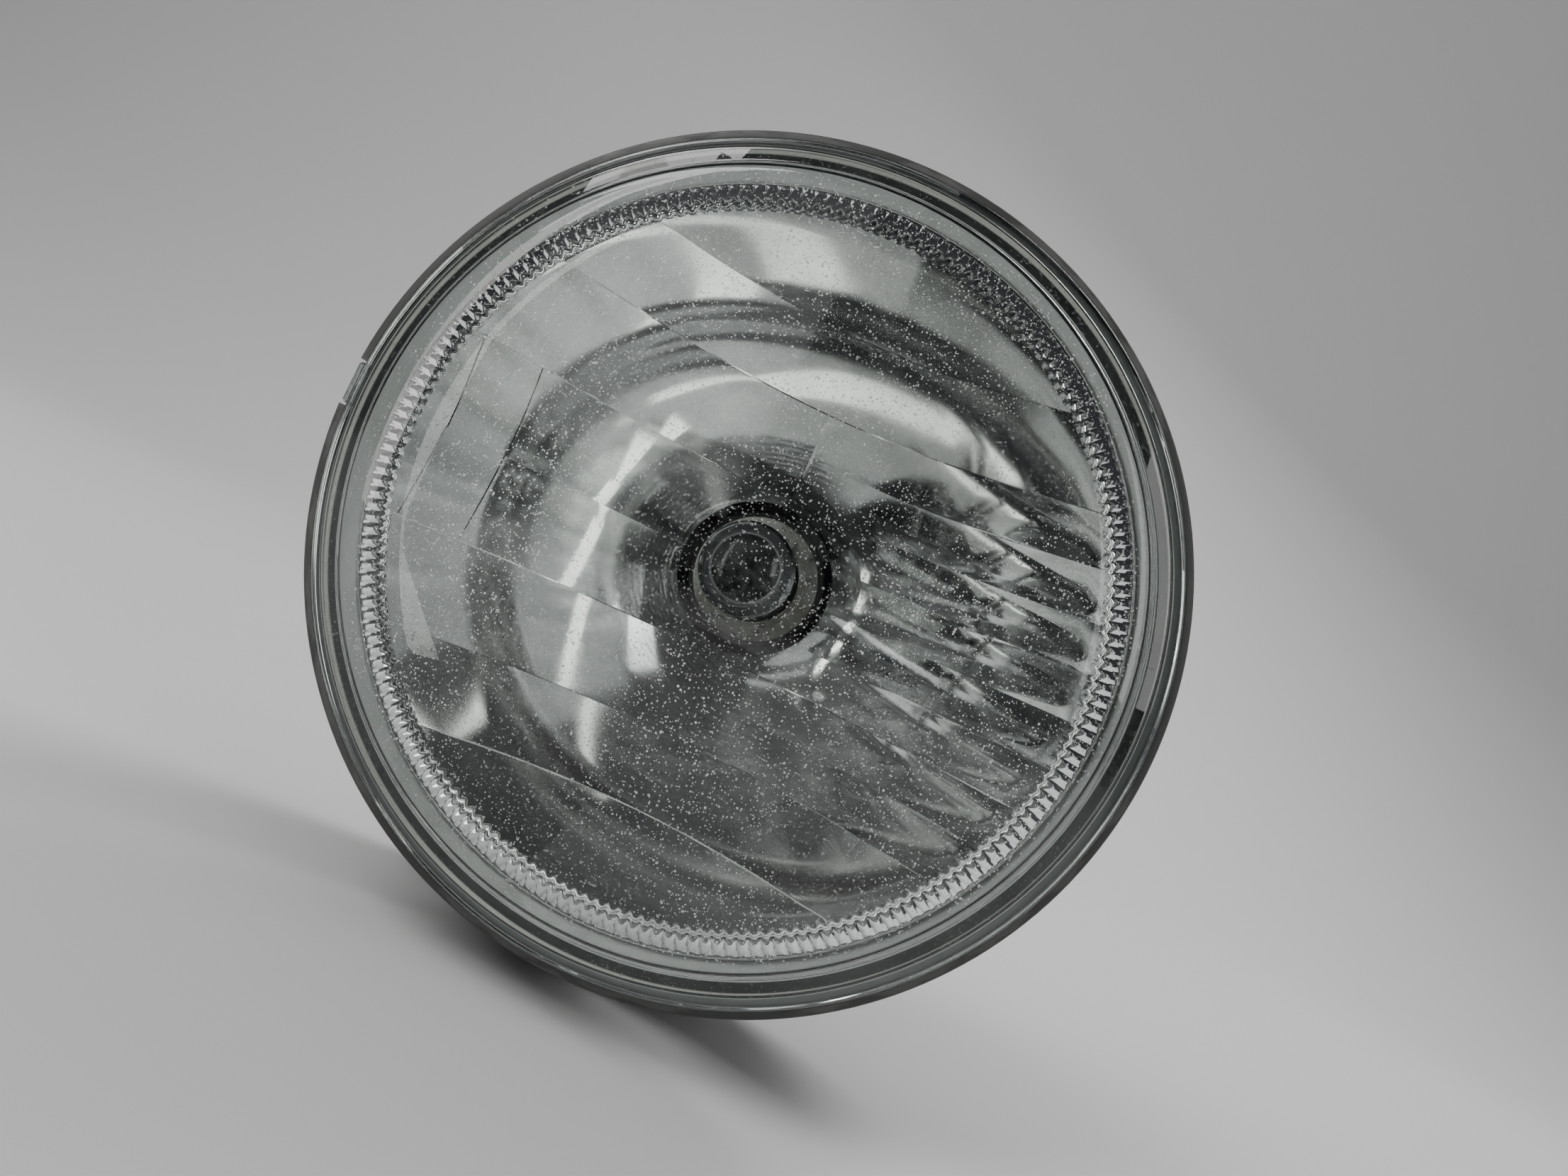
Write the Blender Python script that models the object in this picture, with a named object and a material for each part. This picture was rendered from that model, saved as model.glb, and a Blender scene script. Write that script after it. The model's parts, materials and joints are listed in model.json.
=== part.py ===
"""A round glass fog light that tilts in its carrier bracket. Metres, +Z up, lens towards -Y.

The origin is the middle of the bracket foot's underside. The optical axis runs along Y, above it.
A depth is measured along +Y from the back face of the lens flange, so what is ahead of it is negative.
A turned shape's profile is a list of (radius, depth) points.
"""

import math

import bmesh
import bpy
from mathutils import Matrix, Vector

MM = 0.001

# General clearances
GAP = 0.3 * MM  # between pieces that touch
FREE = 0.6 * MM  # between pieces that move past each other
OVER = 1.0 * MM  # how far a cutter or a joined shape reaches past the face that it works on

# Lens
LENS_RADIUS = 50.8 * MM
FLANGE_THICKNESS = 3.0 * MM
FLANGE_WIDTH = 1.9 * MM
STEP_HEIGHT = 7.2 * MM
STEP_WIDTH = 2.3 * MM
LENS_DRAFT = 0.9 * MM
SHOULDER_HEIGHT = 9.9 * MM
SHOULDER_RUN = 2.5 * MM
LENS_RISE = 12.2 * MM
GLASS = 3.2 * MM
SKIRT = 0.7 * MM  # the skirt's inner radius, outside the face's edge
TAB_WIDTH = 5.2 * MM

# Housing
RIM_WALL = 0.9 * MM
RIM_FRONT = 2.0 * MM  # how far the rim reaches ahead of the flange's back face
GROOVE_DEPTH = 3.0 * MM
GROOVE_FLOOR = 2.5 * MM
CONE_STEP = 5.5 * MM  # from the rim's outside in to the cone
BACK_RADIUS = 30.2 * MM
WALL = 2.6 * MM
FIN_COUNT = 8
FIN_HEIGHT = 2.2 * MM
FIN_WIDTH = 1.8 * MM

# Reflector
FOCAL_LENGTH = 17.0 * MM
REFLECTOR_WALL = 1.6 * MM
REFLECTOR_MARGIN = 1.9 * MM  # from the lens skirt to the mouth of the bowl
LIP = 1.2 * MM
LIP_FRONT = 1.5 * MM
BULB_HOLE_CLEARANCE = 1.0 * MM
BOSS_RADIUS = 3.6 * MM
SCREW_ANGLES = {"left": 150, "right": 30, "lower": 270}
SCREW_RADIUS = 1.75 * MM
SCREW_GRIP = 6.5 * MM  # length held in the boss
SCREW_HEAD_RADIUS = 3.2 * MM
SCREW_HEAD_HEIGHT = 2.6 * MM
HEAD_CLEARANCE = 0.8 * MM  # from the bulb's flange to the screw heads
WASHER = 0.9 * MM

# Bulb, a standard capsule type
LIGHT_CENTRE = 25.0 * MM  # from the datum to the filament
CAPSULE_RADIUS = 5.75 * MM
CAPSULE_LENGTH = 35.5 * MM  # from the datum to the tip
CAPSULE_WALL = 0.9 * MM
FERRULE_WALL = 1.0 * MM
PINCH_LENGTH = 8.0 * MM
PINCH_START = 6.8 * MM  # ahead of the datum
FILAMENT_RADIUS = 0.7 * MM
FILAMENT_LENGTH = 4.6 * MM
LEAD_RADIUS = 0.45 * MM
LEAD_OFFSET = 2.3 * MM
SPIGOT_RADIUS = 9.6 * MM
SPIGOT_LENGTH = 6.0 * MM
SPIGOT_CLEARANCE = 0.8 * MM  # in the back plate's hole
LUG_CLEARANCE = 0.4 * MM  # in the back plate's notches
LUG_PLAY = 3  # degrees that a notch is wider than its lug, each way
LUG_HEIGHT = 2.8 * MM
LUG_THICKNESS = 2.7 * MM
LUGS = ((60, 20), (180, 15), (300, 12))  # each lug's angle and half its spread, degrees
TWIST = 45  # degrees from locked to free
SEAL_CLEARANCE = 1.6 * MM  # from the lugs to the middle of the seal
SEAL_SECTION = 0.85 * MM
BULB_FLANGE_RIM = 2.0 * MM  # outside the middle of the seal
BULB_FLANGE = 2.5 * MM
BULB_CAP_RADIUS = 11.0 * MM
SHROUD_WIDTH = 16.0 * MM
SHROUD_HEIGHT = 10.5 * MM
SHROUD_REACH = 32.0 * MM
SHROUD_WALL = 1.6 * MM
SOCKET_DEPTH = 14.0 * MM
BLADE_WIDTH = 2.8 * MM
BLADE_THICKNESS = 0.8 * MM
BLADE_LENGTH = 8.5 * MM
BLADE_ROOT = 3.5 * MM
BLADE_SPACING = 6.0 * MM

# Vent
VENT_SPIGOT_RADIUS = 3.0 * MM
VENT_BORE = 1.2 * MM
VENT_SPIGOT_HEIGHT = 4.6 * MM
VENT_CAP_RADIUS = 5.4 * MM
VENT_CAP_HEIGHT = 6.2 * MM

# Tilt pivots
PIVOT_DEPTH = 25.0 * MM
PIVOT_SCREW_RADIUS = 2.4 * MM
PIVOT_SHOULDER = 3.2 * MM
PIVOT_HEAD_RADIUS = 6.0 * MM
PIVOT_HEAD = 3.2 * MM
HEX_RADIUS = 2.6 * MM
PIVOT_BOSS_RADIUS = 7.0 * MM
PIVOT_THREAD = 10.5 * MM
BUSH_WALL = 1.6 * MM
BUSH_FLANGE = 1.0 * MM
BUSH_FLANGE_RADIUS = 7.4 * MM

# Adjuster
THREAD_RADIUS = 3.0 * MM
NUT_HALF = 5.0 * MM
NUT_PIN_RADIUS = 2.2 * MM
CHEEK = 2.5 * MM
FORK_RADIUS = 5.5 * MM
SCREW_AHEAD = 6.0 * MM  # of the pivot, clear of the cone at full tilt
TAB_THICKNESS = 3.5 * MM
TAB_RIM = 2.0 * MM  # of the bracket's tab, outside the collar
COLLAR_RADIUS = 6.5 * MM
COLLAR = 1.6 * MM
DRIVE_RADIUS = 4.2 * MM
DRIVE_LENGTH = 7.0 * MM
RETAINER = 0.9 * MM
RETAINER_RADIUS = 5.6 * MM

# Carrier bracket
STRAP = 3.0 * MM
STRAP_WIDTH = 16.0 * MM
STRAP_FLANGE = 2.2 * MM
STRAP_FLANGE_THICKNESS = 2.0 * MM
ARM_END_RADIUS = 9.0 * MM
ARM_PAD = 1.0 * MM
FOOT_WIDTH = 40.0 * MM
FOOT_LENGTH = 28.0 * MM
FOOT_THICKNESS = 4.0 * MM
FOOT_CORNER = 6.0 * MM
FOOT_TO_STRAP = 0.3 * MM
PIVOT_AHEAD = 10.0 * MM  # of the foot's middle
BOLT_SPACING = 26.0 * MM
BOLT_BACK = 5.0 * MM
BOLT_RADIUS = 3.3 * MM
SLEEVE_WALL = 1.4 * MM
GUSSET = 2.4 * MM

# Turned shapes
FINE = 48
MEDIUM = 24
SMALL = 16

# Places that follow from the sizes
PIVOT_Y = -PIVOT_AHEAD
LENS_Y = PIVOT_Y - PIVOT_DEPTH
STEP_RADIUS = LENS_RADIUS - FLANGE_WIDTH - LENS_DRAFT
FACE_RADIUS = STEP_RADIUS - STEP_WIDTH - SHOULDER_RUN
SKIRT_RADIUS = FACE_RADIUS + SKIRT
BOWL_RADIUS = SKIRT_RADIUS - REFLECTOR_MARGIN
VERTEX = BOWL_RADIUS**2 / (4 * FOCAL_LENGTH) - LIP_FRONT
DATUM = VERTEX - FOCAL_LENGTH + LIGHT_CENTRE  # outer face of the housing's back plate
RIM_INNER = LENS_RADIUS + GAP
BULB_HOLE_RADIUS = SPIGOT_RADIUS + BULB_HOLE_CLEARANCE
LUG_RADIUS = SPIGOT_RADIUS + LUG_HEIGHT
SEAL_RADIUS = LUG_RADIUS + SEAL_CLEARANCE
BULB_FLANGE_RADIUS = SEAL_RADIUS + BULB_FLANGE_RIM
BOSS_CIRCLE = BULB_FLANGE_RADIUS + SCREW_HEAD_RADIUS + HEAD_CLEARANCE
VENT_CIRCLE = BULB_FLANGE_RADIUS + VENT_CAP_RADIUS + FREE
RIM_OUTER = RIM_INNER + RIM_WALL
CONE_START = GROOVE_DEPTH + GROOVE_FLOOR
CONE_RADIUS = RIM_OUTER - CONE_STEP


def cone_radius(depth):
    """Outer radius of the housing's cone at a depth."""
    share = (depth - CONE_START) / (DATUM - CONE_START)
    return CONE_RADIUS + share * (BACK_RADIUS - CONE_RADIUS)


NUT_DROP = cone_radius(PIVOT_DEPTH - NUT_HALF) + FREE + NUT_HALF
CHEEK_INNER = NUT_HALF + FREE
CHEEK_OUTER = CHEEK_INNER + CHEEK
STRAP_RADIUS = math.hypot(NUT_DROP + FORK_RADIUS, CHEEK_OUTER) + 2 * FREE
STRAP_OUTER = STRAP_RADIUS + STRAP
AXIS_HEIGHT = STRAP_OUTER + STRAP_FLANGE + FOOT_TO_STRAP
BUSH_INNER = PIVOT_SHOULDER + GAP
BUSH_OUTER = BUSH_INNER + BUSH_WALL
ARM_OUTER = STRAP_OUTER + ARM_PAD
SIDE_BOSS_END = STRAP_RADIUS - 2 * GAP - BUSH_FLANGE
SCREW_Z = AXIS_HEIGHT - NUT_DROP
TAB_Y = FOOT_LENGTH / 2 - TAB_THICKNESS
SHROUD_FRONT = DATUM + SEAL_SECTION * 2 + 2 * GAP + BULB_FLANGE + FREE
CAP_END = SHROUD_FRONT + SHROUD_HEIGHT - FREE


def lamp(x=0.0, depth=0.0, height=0.0):
    """A place given from the lens flange's back face and the optical axis."""
    return Vector((x, LENS_Y + depth, AXIS_HEIGHT + height))


def round_about_axis(radius, angle, depth):
    """A place at a radius and an angle, in degrees from +X towards +Z, about the optical axis."""
    turn = math.radians(angle)
    return lamp(radius * math.cos(turn), depth, radius * math.sin(turn))


def arc(centre, radius, start, end, steps):
    """Points along an arc, angles in degrees."""
    turns = [math.radians(start + (end - start) * i / steps) for i in range(steps + 1)]
    return [(centre[0] + radius * math.cos(t), centre[1] + radius * math.sin(t)) for t in turns]


# Materials


def material(name, colour, roughness, metallic=0.0, transmission=0.0):
    made = bpy.data.materials.new(name)
    made.use_nodes = True
    shader = made.node_tree.nodes["Principled BSDF"]
    shader.inputs["Base Color"].default_value = (*colour, 1.0)
    shader.inputs["Roughness"].default_value = roughness
    shader.inputs["Metallic"].default_value = metallic
    shader.inputs["Transmission Weight"].default_value = transmission
    made.diffuse_color = (*colour, 1.0)
    return made


def make_materials():
    return {
        "glass": material("glass", (0.90, 0.95, 0.92), 0.03, transmission=1.0),
        "mirror": material("mirror", (0.86, 0.87, 0.86), 0.06, metallic=1.0),
        "black_plastic": material("black_plastic", (0.018, 0.018, 0.017), 0.48),
        "grey_plastic": material("grey_plastic", (0.10, 0.10, 0.10), 0.5),
        "sealant": material("sealant", (0.03, 0.03, 0.028), 0.7),
        "rubber": material("rubber", (0.022, 0.022, 0.022), 0.75),
        "steel": material("steel", (0.56, 0.56, 0.54), 0.32, metallic=1.0),
        "nylon": material("nylon", (0.78, 0.76, 0.70), 0.45),
        "tungsten": material("tungsten", (0.35, 0.35, 0.36), 0.4, metallic=1.0),
        "tinned_brass": material("tinned_brass", (0.72, 0.68, 0.58), 0.3, metallic=1.0),
    }


# Building helpers. A shape is a bmesh in world coordinates.


def turned(profile, segments, centre, along="Y"):
    """The closed profile of (radius, distance along the axis) points, turned about the axis."""
    shape = bmesh.new()
    points = [shape.verts.new((radius, distance, 0.0)) for radius, distance in profile]
    pairs = zip(points, points[1:] + points[:1])
    edges = [shape.edges.new(pair) for pair in pairs if max(end.co.x for end in pair) > 0.0]
    bmesh.ops.spin(
        shape,
        geom=points + edges,
        axis=(0.0, 1.0, 0.0),
        angle=math.tau,
        steps=segments,
        use_merge=True,
    )
    bmesh.ops.remove_doubles(shape, verts=shape.verts, dist=1e-6)
    bmesh.ops.recalc_face_normals(shape, faces=shape.faces)
    turn = {"Y": Matrix(), "X": Matrix.Rotation(-math.pi / 2, 4, "Z")}
    turn["Z"] = Matrix.Rotation(math.pi / 2, 4, "X")
    shape.transform(Matrix.Translation(centre) @ turn[along])
    return shape


def tube(outer, inner, start, end, segments, centre, along="Y"):
    """A plain round tube, or a rod where inner is 0."""
    profile = [(inner, start), (outer, start), (outer, end), (inner, end)]
    return turned(profile, segments, centre, along)


def prism(outline, start, end, along="Y"):
    """The outline, extruded from start to end along one axis.

    Its points lie in the plane of the other two axes.
    """
    order = {"X": (2, 0, 1), "Y": (0, 2, 1), "Z": (0, 1, 2)}[along]
    shape = bmesh.new()
    corners = []
    for first, second in outline:
        corners.append(shape.verts.new([(first, second, start)[k] for k in order]))
    face = shape.faces.new(corners)
    moved = bmesh.ops.extrude_face_region(shape, geom=[face])["geom"]
    shift = Vector([(0.0, 0.0, end - start)[k] for k in order])
    far_corners = [part for part in moved if isinstance(part, bmesh.types.BMVert)]
    bmesh.ops.translate(shape, vec=shift, verts=far_corners)
    bmesh.ops.recalc_face_normals(shape, faces=shape.faces)
    return shape


def rounded_rectangle(centre, width, height, radius, steps=4):
    """A rectangle's outline with round corners, width along the plane's first axis."""
    outline = []
    for quarter, (side, top) in enumerate(((1, 1), (-1, 1), (-1, -1), (1, -1))):
        corner = (
            centre[0] + side * (width / 2 - radius),
            centre[1] + top * (height / 2 - radius),
        )
        outline += arc(corner, radius, 90 * quarter, 90 * quarter + 90, steps)
    return outline


def block(low, high):
    """A box between two corners."""
    outline = [(low[0], low[1]), (high[0], low[1]), (high[0], high[1]), (low[0], high[1])]
    return prism(outline, low[2], high[2], along="Z")


def sector(inner, outer, angle, half_spread, start, end):
    """Part of a ring about the optical axis, between two depths."""
    low, high = angle - half_spread, angle + half_spread
    steps = 6
    middle = (0.0, AXIS_HEIGHT)
    outline = arc(middle, outer, low, high, steps) + arc(middle, inner, high, low, steps)
    return prism(outline, LENS_Y + start, LENS_Y + end)


def to_object(name, shape, parent):
    """An object under the parent, whose mesh holds the shape where it is."""
    shape.transform(Matrix.Translation(-parent.matrix_world.translation))
    mesh = bpy.data.meshes.new(name)
    shape.to_mesh(mesh)
    shape.free()
    mesh.shade_smooth()
    mesh.set_sharp_from_angle(angle=math.radians(32))
    made = bpy.data.objects.new(name, mesh)
    made.parent = parent
    bpy.context.scene.collection.objects.link(made)
    return made


def piece(name, shape, parent, finish):
    made = to_object(name, shape, parent)
    made.data.materials.append(finish)
    return made


def boolean(target, shape, operation):
    """Adds a hidden helper holding the shape, and a Boolean with it on the target.

    The exact solver drops facets where round pieces meet at a shallow angle, and every mesh here is closed.
    """
    helper = to_object(f"{target.name}_{operation.lower()}", shape, target.parent)
    helper.hide_render = True
    helper.display_type = "WIRE"
    made = target.modifiers.new(helper.name, "BOOLEAN")
    made.operation = operation
    made.solver = "MANIFOLD"
    made.object = helper


def join(target, shape):
    boolean(target, shape, "UNION")


def cut(target, shape):
    boolean(target, shape, "DIFFERENCE")


def wire(name, points, radius, parent, finish):
    """A round wire through world points, as a curve with filled ends."""
    curve = bpy.data.curves.new(name, "CURVE")
    curve.dimensions = "3D"
    curve.bevel_depth = radius
    curve.bevel_resolution = 2
    curve.use_fill_caps = True
    line = curve.splines.new("POLY")
    line.points.add(len(points) - 1)
    for point, place in zip(line.points, points):
        point.co = (*(place - parent.matrix_world.translation), 1.0)
    curve.materials.append(finish)
    made = bpy.data.objects.new(name, curve)
    made.parent = parent
    bpy.context.scene.collection.objects.link(made)
    return made


def axis_empty(name, place, parent=None):
    """An empty on a joint's axis, which the moving pieces are parented to."""
    made = bpy.data.objects.new(name, None)
    made.empty_display_size = 0.01
    bpy.context.scene.collection.objects.link(made)
    if parent:
        made.parent = parent
        made.location = place - parent.matrix_world.translation
    else:
        made.location = place
    bpy.context.view_layer.update()
    return made


# The lamp's optics


def dome(edge_radius, edge_depth, centre_depth, steps):
    """Profile points of a shallow dome, from its edge to the axis."""
    rise = edge_depth - centre_depth
    sphere = (edge_radius**2 + rise**2) / (2 * rise)
    points = []
    for i in range(steps + 1):
        radius = edge_radius * (1 - i / steps)
        drop = sphere - math.sqrt(sphere**2 - radius**2)
        points.append((radius, centre_depth + drop))
    return points


def make_lens(parent, finishes):
    """A pressed-glass cover: a flange, a stepped wall, a rounded shoulder and a shallow dome."""
    edge = 0.4 * MM
    wall_foot = LENS_RADIUS - FLANGE_WIDTH
    shoulder_start = STEP_RADIUS - STEP_WIDTH
    step_round = 0.8 * MM
    profile = [
        (SKIRT_RADIUS, 0.0),
        (LENS_RADIUS, 0.0),
        (LENS_RADIUS, edge - FLANGE_THICKNESS),
        (LENS_RADIUS - edge, -FLANGE_THICKNESS),
        (wall_foot, -FLANGE_THICKNESS),
        (STEP_RADIUS, step_round - STEP_HEIGHT),
        (STEP_RADIUS - step_round, -STEP_HEIGHT),
        (shoulder_start, -STEP_HEIGHT - edge),
        (shoulder_start - 0.2 * SHOULDER_RUN, -0.5 * (STEP_HEIGHT + SHOULDER_HEIGHT)),
        (shoulder_start - 0.5 * SHOULDER_RUN, edge - SHOULDER_HEIGHT),
    ]
    profile += dome(FACE_RADIUS, -SHOULDER_HEIGHT, -LENS_RISE, 3)
    inside_edge = FACE_RADIUS - 0.7 * GLASS
    profile += reversed(dome(inside_edge, GLASS - SHOULDER_HEIGHT, GLASS - LENS_RISE, 2))
    profile.append((SKIRT_RADIUS - 0.1 * GLASS, 1.6 * GLASS - SHOULDER_HEIGHT))
    lens = piece("lens", turned(profile, FINE, lamp()), parent, finishes["glass"])
    root = LENS_RADIUS - FLANGE_WIDTH / 2
    tab_tip = math.sqrt((RIM_OUTER - edge / 2) ** 2 - (TAB_WIDTH / 2) ** 2)
    low = lamp(-tab_tip, -RIM_FRONT, -TAB_WIDTH / 2)
    high = lamp(-root, -edge, TAB_WIDTH / 2)
    join(lens, block(low, high))
    return lens


def make_sealant(parent, finishes):
    """The bead that the lens is bedded in."""
    outer = RIM_INNER - GAP
    inner = SKIRT_RADIUS + 2 * GAP
    middle = (inner + outer) / 2
    profile = [
        (inner, GAP),
        (outer, GAP),
        (outer, 0.6 * GROOVE_DEPTH),
        (middle, GROOVE_DEPTH - GAP),
        (inner, 0.6 * GROOVE_DEPTH),
    ]
    return piece("lens_sealant", turned(profile, FINE, lamp()), parent, finishes["sealant"])


def bowl_depth(radius):
    """Depth of the reflector's inner surface, a paraboloid, at a radius."""
    return VERTEX - radius**2 / (4 * FOCAL_LENGTH)


def bowl_back(radius):
    """A profile point on the reflector's back, one wall behind the inner surface at a radius."""
    slope = radius / (2 * FOCAL_LENGTH)
    length = math.hypot(1.0, slope)
    shift = REFLECTOR_WALL / length
    return (radius + shift * slope, bowl_depth(radius) + shift)


def spread(start, end, steps):
    return [start + (end - start) * i / steps for i in range(steps + 1)]


def make_reflector(parent, finishes):
    """A paraboloid bowl round the bulb hole, with a lip, a short neck and three screw bosses."""
    neck_outer = BULB_HOLE_RADIUS + REFLECTOR_WALL
    neck_end = DATUM - SPIGOT_LENGTH - FREE
    lip_radius = BOWL_RADIUS + LIP
    profile = [(0.0, neck_end), (neck_outer, neck_end)]
    profile += [bowl_back(radius) for radius in spread(neck_outer, BOWL_RADIUS - LIP / 2, 5)]
    profile += [(lip_radius, -LIP_FRONT / 3), (lip_radius, -LIP_FRONT), (0.0, -LIP_FRONT)]
    reflector = piece("reflector", turned(profile, FINE, lamp()), parent, finishes["mirror"])
    boss_end = DATUM - WALL - GAP
    for angle in SCREW_ANGLES.values():
        centre = round_about_axis(BOSS_CIRCLE, angle, 0.0)
        start = bowl_depth(BOSS_CIRCLE + BOSS_RADIUS) - 2 * OVER
        join(reflector, tube(BOSS_RADIUS, 0.0, start, boss_end, SMALL, centre))
        pilot = SCREW_RADIUS + GAP
        hole = tube(pilot, 0.0, boss_end - SCREW_GRIP, boss_end + OVER, SMALL, centre)
        cut(reflector, hole)
    hollow = [(0.0, -LIP_FRONT - OVER), (BOWL_RADIUS, -LIP_FRONT - OVER)]
    hollow += [(radius, bowl_depth(radius)) for radius in spread(BOWL_RADIUS, BULB_HOLE_RADIUS, 7)]
    hollow += [(BULB_HOLE_RADIUS, neck_end + OVER), (0.0, neck_end + OVER)]
    cut(reflector, turned(hollow, FINE, lamp()))
    return reflector


def make_reflector_screws(parent, finishes):
    """Screws through the housing's back plate into the reflector's bosses, each on a sealing washer."""
    seat = DATUM + GAP
    head = seat + WASHER + GAP
    tip = DATUM - WALL - SCREW_GRIP + GAP
    recess = 1.0 * MM
    for side, angle in SCREW_ANGLES.items():
        centre = round_about_axis(BOSS_CIRCLE, angle, 0.0)
        washer = tube(SCREW_HEAD_RADIUS, SCREW_RADIUS + GAP, seat, seat + WASHER, SMALL, centre)
        piece(f"screw_washer_{side}", washer, parent, finishes["rubber"])
        profile = [
            (0.0, tip),
            (SCREW_RADIUS - 0.5 * MM, tip),
            (SCREW_RADIUS, tip + 1.0 * MM),
            (SCREW_RADIUS, head),
            (SCREW_HEAD_RADIUS, head),
            (SCREW_HEAD_RADIUS, head + 0.6 * SCREW_HEAD_HEIGHT),
            (0.6 * SCREW_HEAD_RADIUS, head + SCREW_HEAD_HEIGHT),
            (0.0, head + SCREW_HEAD_HEIGHT),
        ]
        name = f"reflector_screw_{side}"
        screw = piece(name, turned(profile, SMALL, centre), parent, finishes["steel"])
        socket = tube(1.4 * MM, 0.0, head + recess, head + 2 * SCREW_HEAD_HEIGHT, 6, centre)
        cut(screw, socket)


# The housing


def fork_cheek(side):
    """One cheek of the fork that holds the adjuster nut."""
    middle = (LENS_Y + PIVOT_DEPTH, AXIS_HEIGHT - NUT_DROP)
    top = AXIS_HEIGHT - BACK_RADIUS
    outline = arc(middle, FORK_RADIUS, 180, 360, 8)
    outline += [(middle[0] + FORK_RADIUS, top), (middle[0] - FORK_RADIUS, top)]
    start, end = sorted((side * CHEEK_INNER, side * CHEEK_OUTER))
    return prism(outline, start, end, along="X")


def fin(angle):
    """A stiffening fin down the cone, as a flat plate turned to its angle."""
    sunk = 1.0 * MM
    ends = (CONE_START + 2.0 * MM, DATUM - 1.5 * MM)
    outline = [
        (cone_radius(ends[0]) - sunk, ends[0]),
        (cone_radius(ends[0]) + FIN_HEIGHT, ends[0]),
        (cone_radius(ends[1]) + FIN_HEIGHT, ends[1]),
        (cone_radius(ends[1]) - sunk, ends[1]),
    ]
    shape = prism(outline, -FIN_WIDTH / 2, FIN_WIDTH / 2, along="Z")
    shape.transform(Matrix.Translation(lamp()) @ Matrix.Rotation(-math.radians(angle), 4, "Y"))
    return shape


def make_housing(parent, finishes):
    """The rear shell: a rim round the lens, a sealing groove, a cone and a back plate for the bulb."""
    solid = [
        (0.0, -RIM_FRONT),
        (RIM_OUTER, -RIM_FRONT),
        (RIM_OUTER, CONE_START - 1.5 * MM),
        (RIM_OUTER - 1.5 * MM, CONE_START),
        (CONE_RADIUS + 0.5 * MM, CONE_START),
        (cone_radius(CONE_START + 0.5 * MM), CONE_START + 0.5 * MM),
        (BACK_RADIUS, DATUM - 1.0 * MM),
        (BACK_RADIUS - 1.0 * MM, DATUM),
        (0.0, DATUM),
    ]
    housing = piece("rear_housing", turned(solid, FINE, lamp()), parent, finishes["black_plastic"])
    for index in range(FIN_COUNT):
        join(housing, fin(360 / FIN_COUNT * (index + 0.5)))
    for side in (-1, 1):
        join(housing, fork_cheek(side))
        start, end = sorted((side * BACK_RADIUS, side * SIDE_BOSS_END))
        boss = tube(PIVOT_BOSS_RADIUS, 0.0, start, end, MEDIUM, lamp(0, PIVOT_DEPTH, 0), "X")
        join(housing, boss)
    vent = round_about_axis(VENT_CIRCLE, 90, 0.0)
    vent_end = DATUM + VENT_SPIGOT_HEIGHT
    join(housing, tube(VENT_SPIGOT_RADIUS, 0.0, DATUM - 1.0 * MM, vent_end, SMALL, vent))

    ledge_inner = BOWL_RADIUS + 0.9 * MM
    ledge_outer = SKIRT_RADIUS + GAP
    ledge_top = 3 * GAP
    hollow = [
        (0.0, -RIM_FRONT - OVER),
        (RIM_INNER, -RIM_FRONT - OVER),
        (RIM_INNER, GROOVE_DEPTH),
        (ledge_outer, GROOVE_DEPTH),
        (ledge_outer, ledge_top),
        (ledge_inner, ledge_top),
        (ledge_inner, CONE_START - 0.5 * MM),
        (BACK_RADIUS - WALL, DATUM - WALL),
        (0.0, DATUM - WALL),
    ]
    cut(housing, turned(hollow, FINE, lamp()))
    bulb_hole = SPIGOT_RADIUS + SPIGOT_CLEARANCE
    inside, outside = DATUM - 2 * WALL, DATUM + OVER
    cut(housing, tube(bulb_hole, 0.0, inside, outside, MEDIUM, lamp()))
    notch_radius = LUG_RADIUS + LUG_CLEARANCE
    for angle, half_spread in LUGS:
        half_notch = half_spread + LUG_PLAY
        notch = sector(bulb_hole - OVER, notch_radius, angle - TWIST, half_notch, inside, outside)
        cut(housing, notch)
    for angle in SCREW_ANGLES.values():
        centre = round_about_axis(BOSS_CIRCLE, angle, 0.0)
        cut(housing, tube(SCREW_RADIUS + GAP, 0.0, inside, outside, SMALL, centre))
    cut(housing, tube(VENT_BORE, 0.0, inside, vent_end + OVER, SMALL, vent))
    pivot = lamp(0, PIVOT_DEPTH, 0)
    hole_floor = SIDE_BOSS_END - PIVOT_THREAD - GAP
    for side in (-1, 1):
        start, end = sorted((side * hole_floor, side * (SIDE_BOSS_END + OVER)))
        cut(housing, tube(PIVOT_SCREW_RADIUS + GAP, 0.0, start, end, SMALL, pivot, "X"))
    pin = lamp(0, PIVOT_DEPTH, -NUT_DROP)
    reach = CHEEK_OUTER + OVER
    cut(housing, tube(NUT_PIN_RADIUS + GAP, 0.0, -reach, reach, SMALL, pin, "X"))
    notch_half = TAB_WIDTH / 2 + GAP
    low = lamp(-RIM_OUTER - OVER, -RIM_FRONT - OVER, -notch_half)
    high = lamp(GAP - RIM_INNER, GAP, notch_half)
    cut(housing, block(low, high))
    return housing


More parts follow.
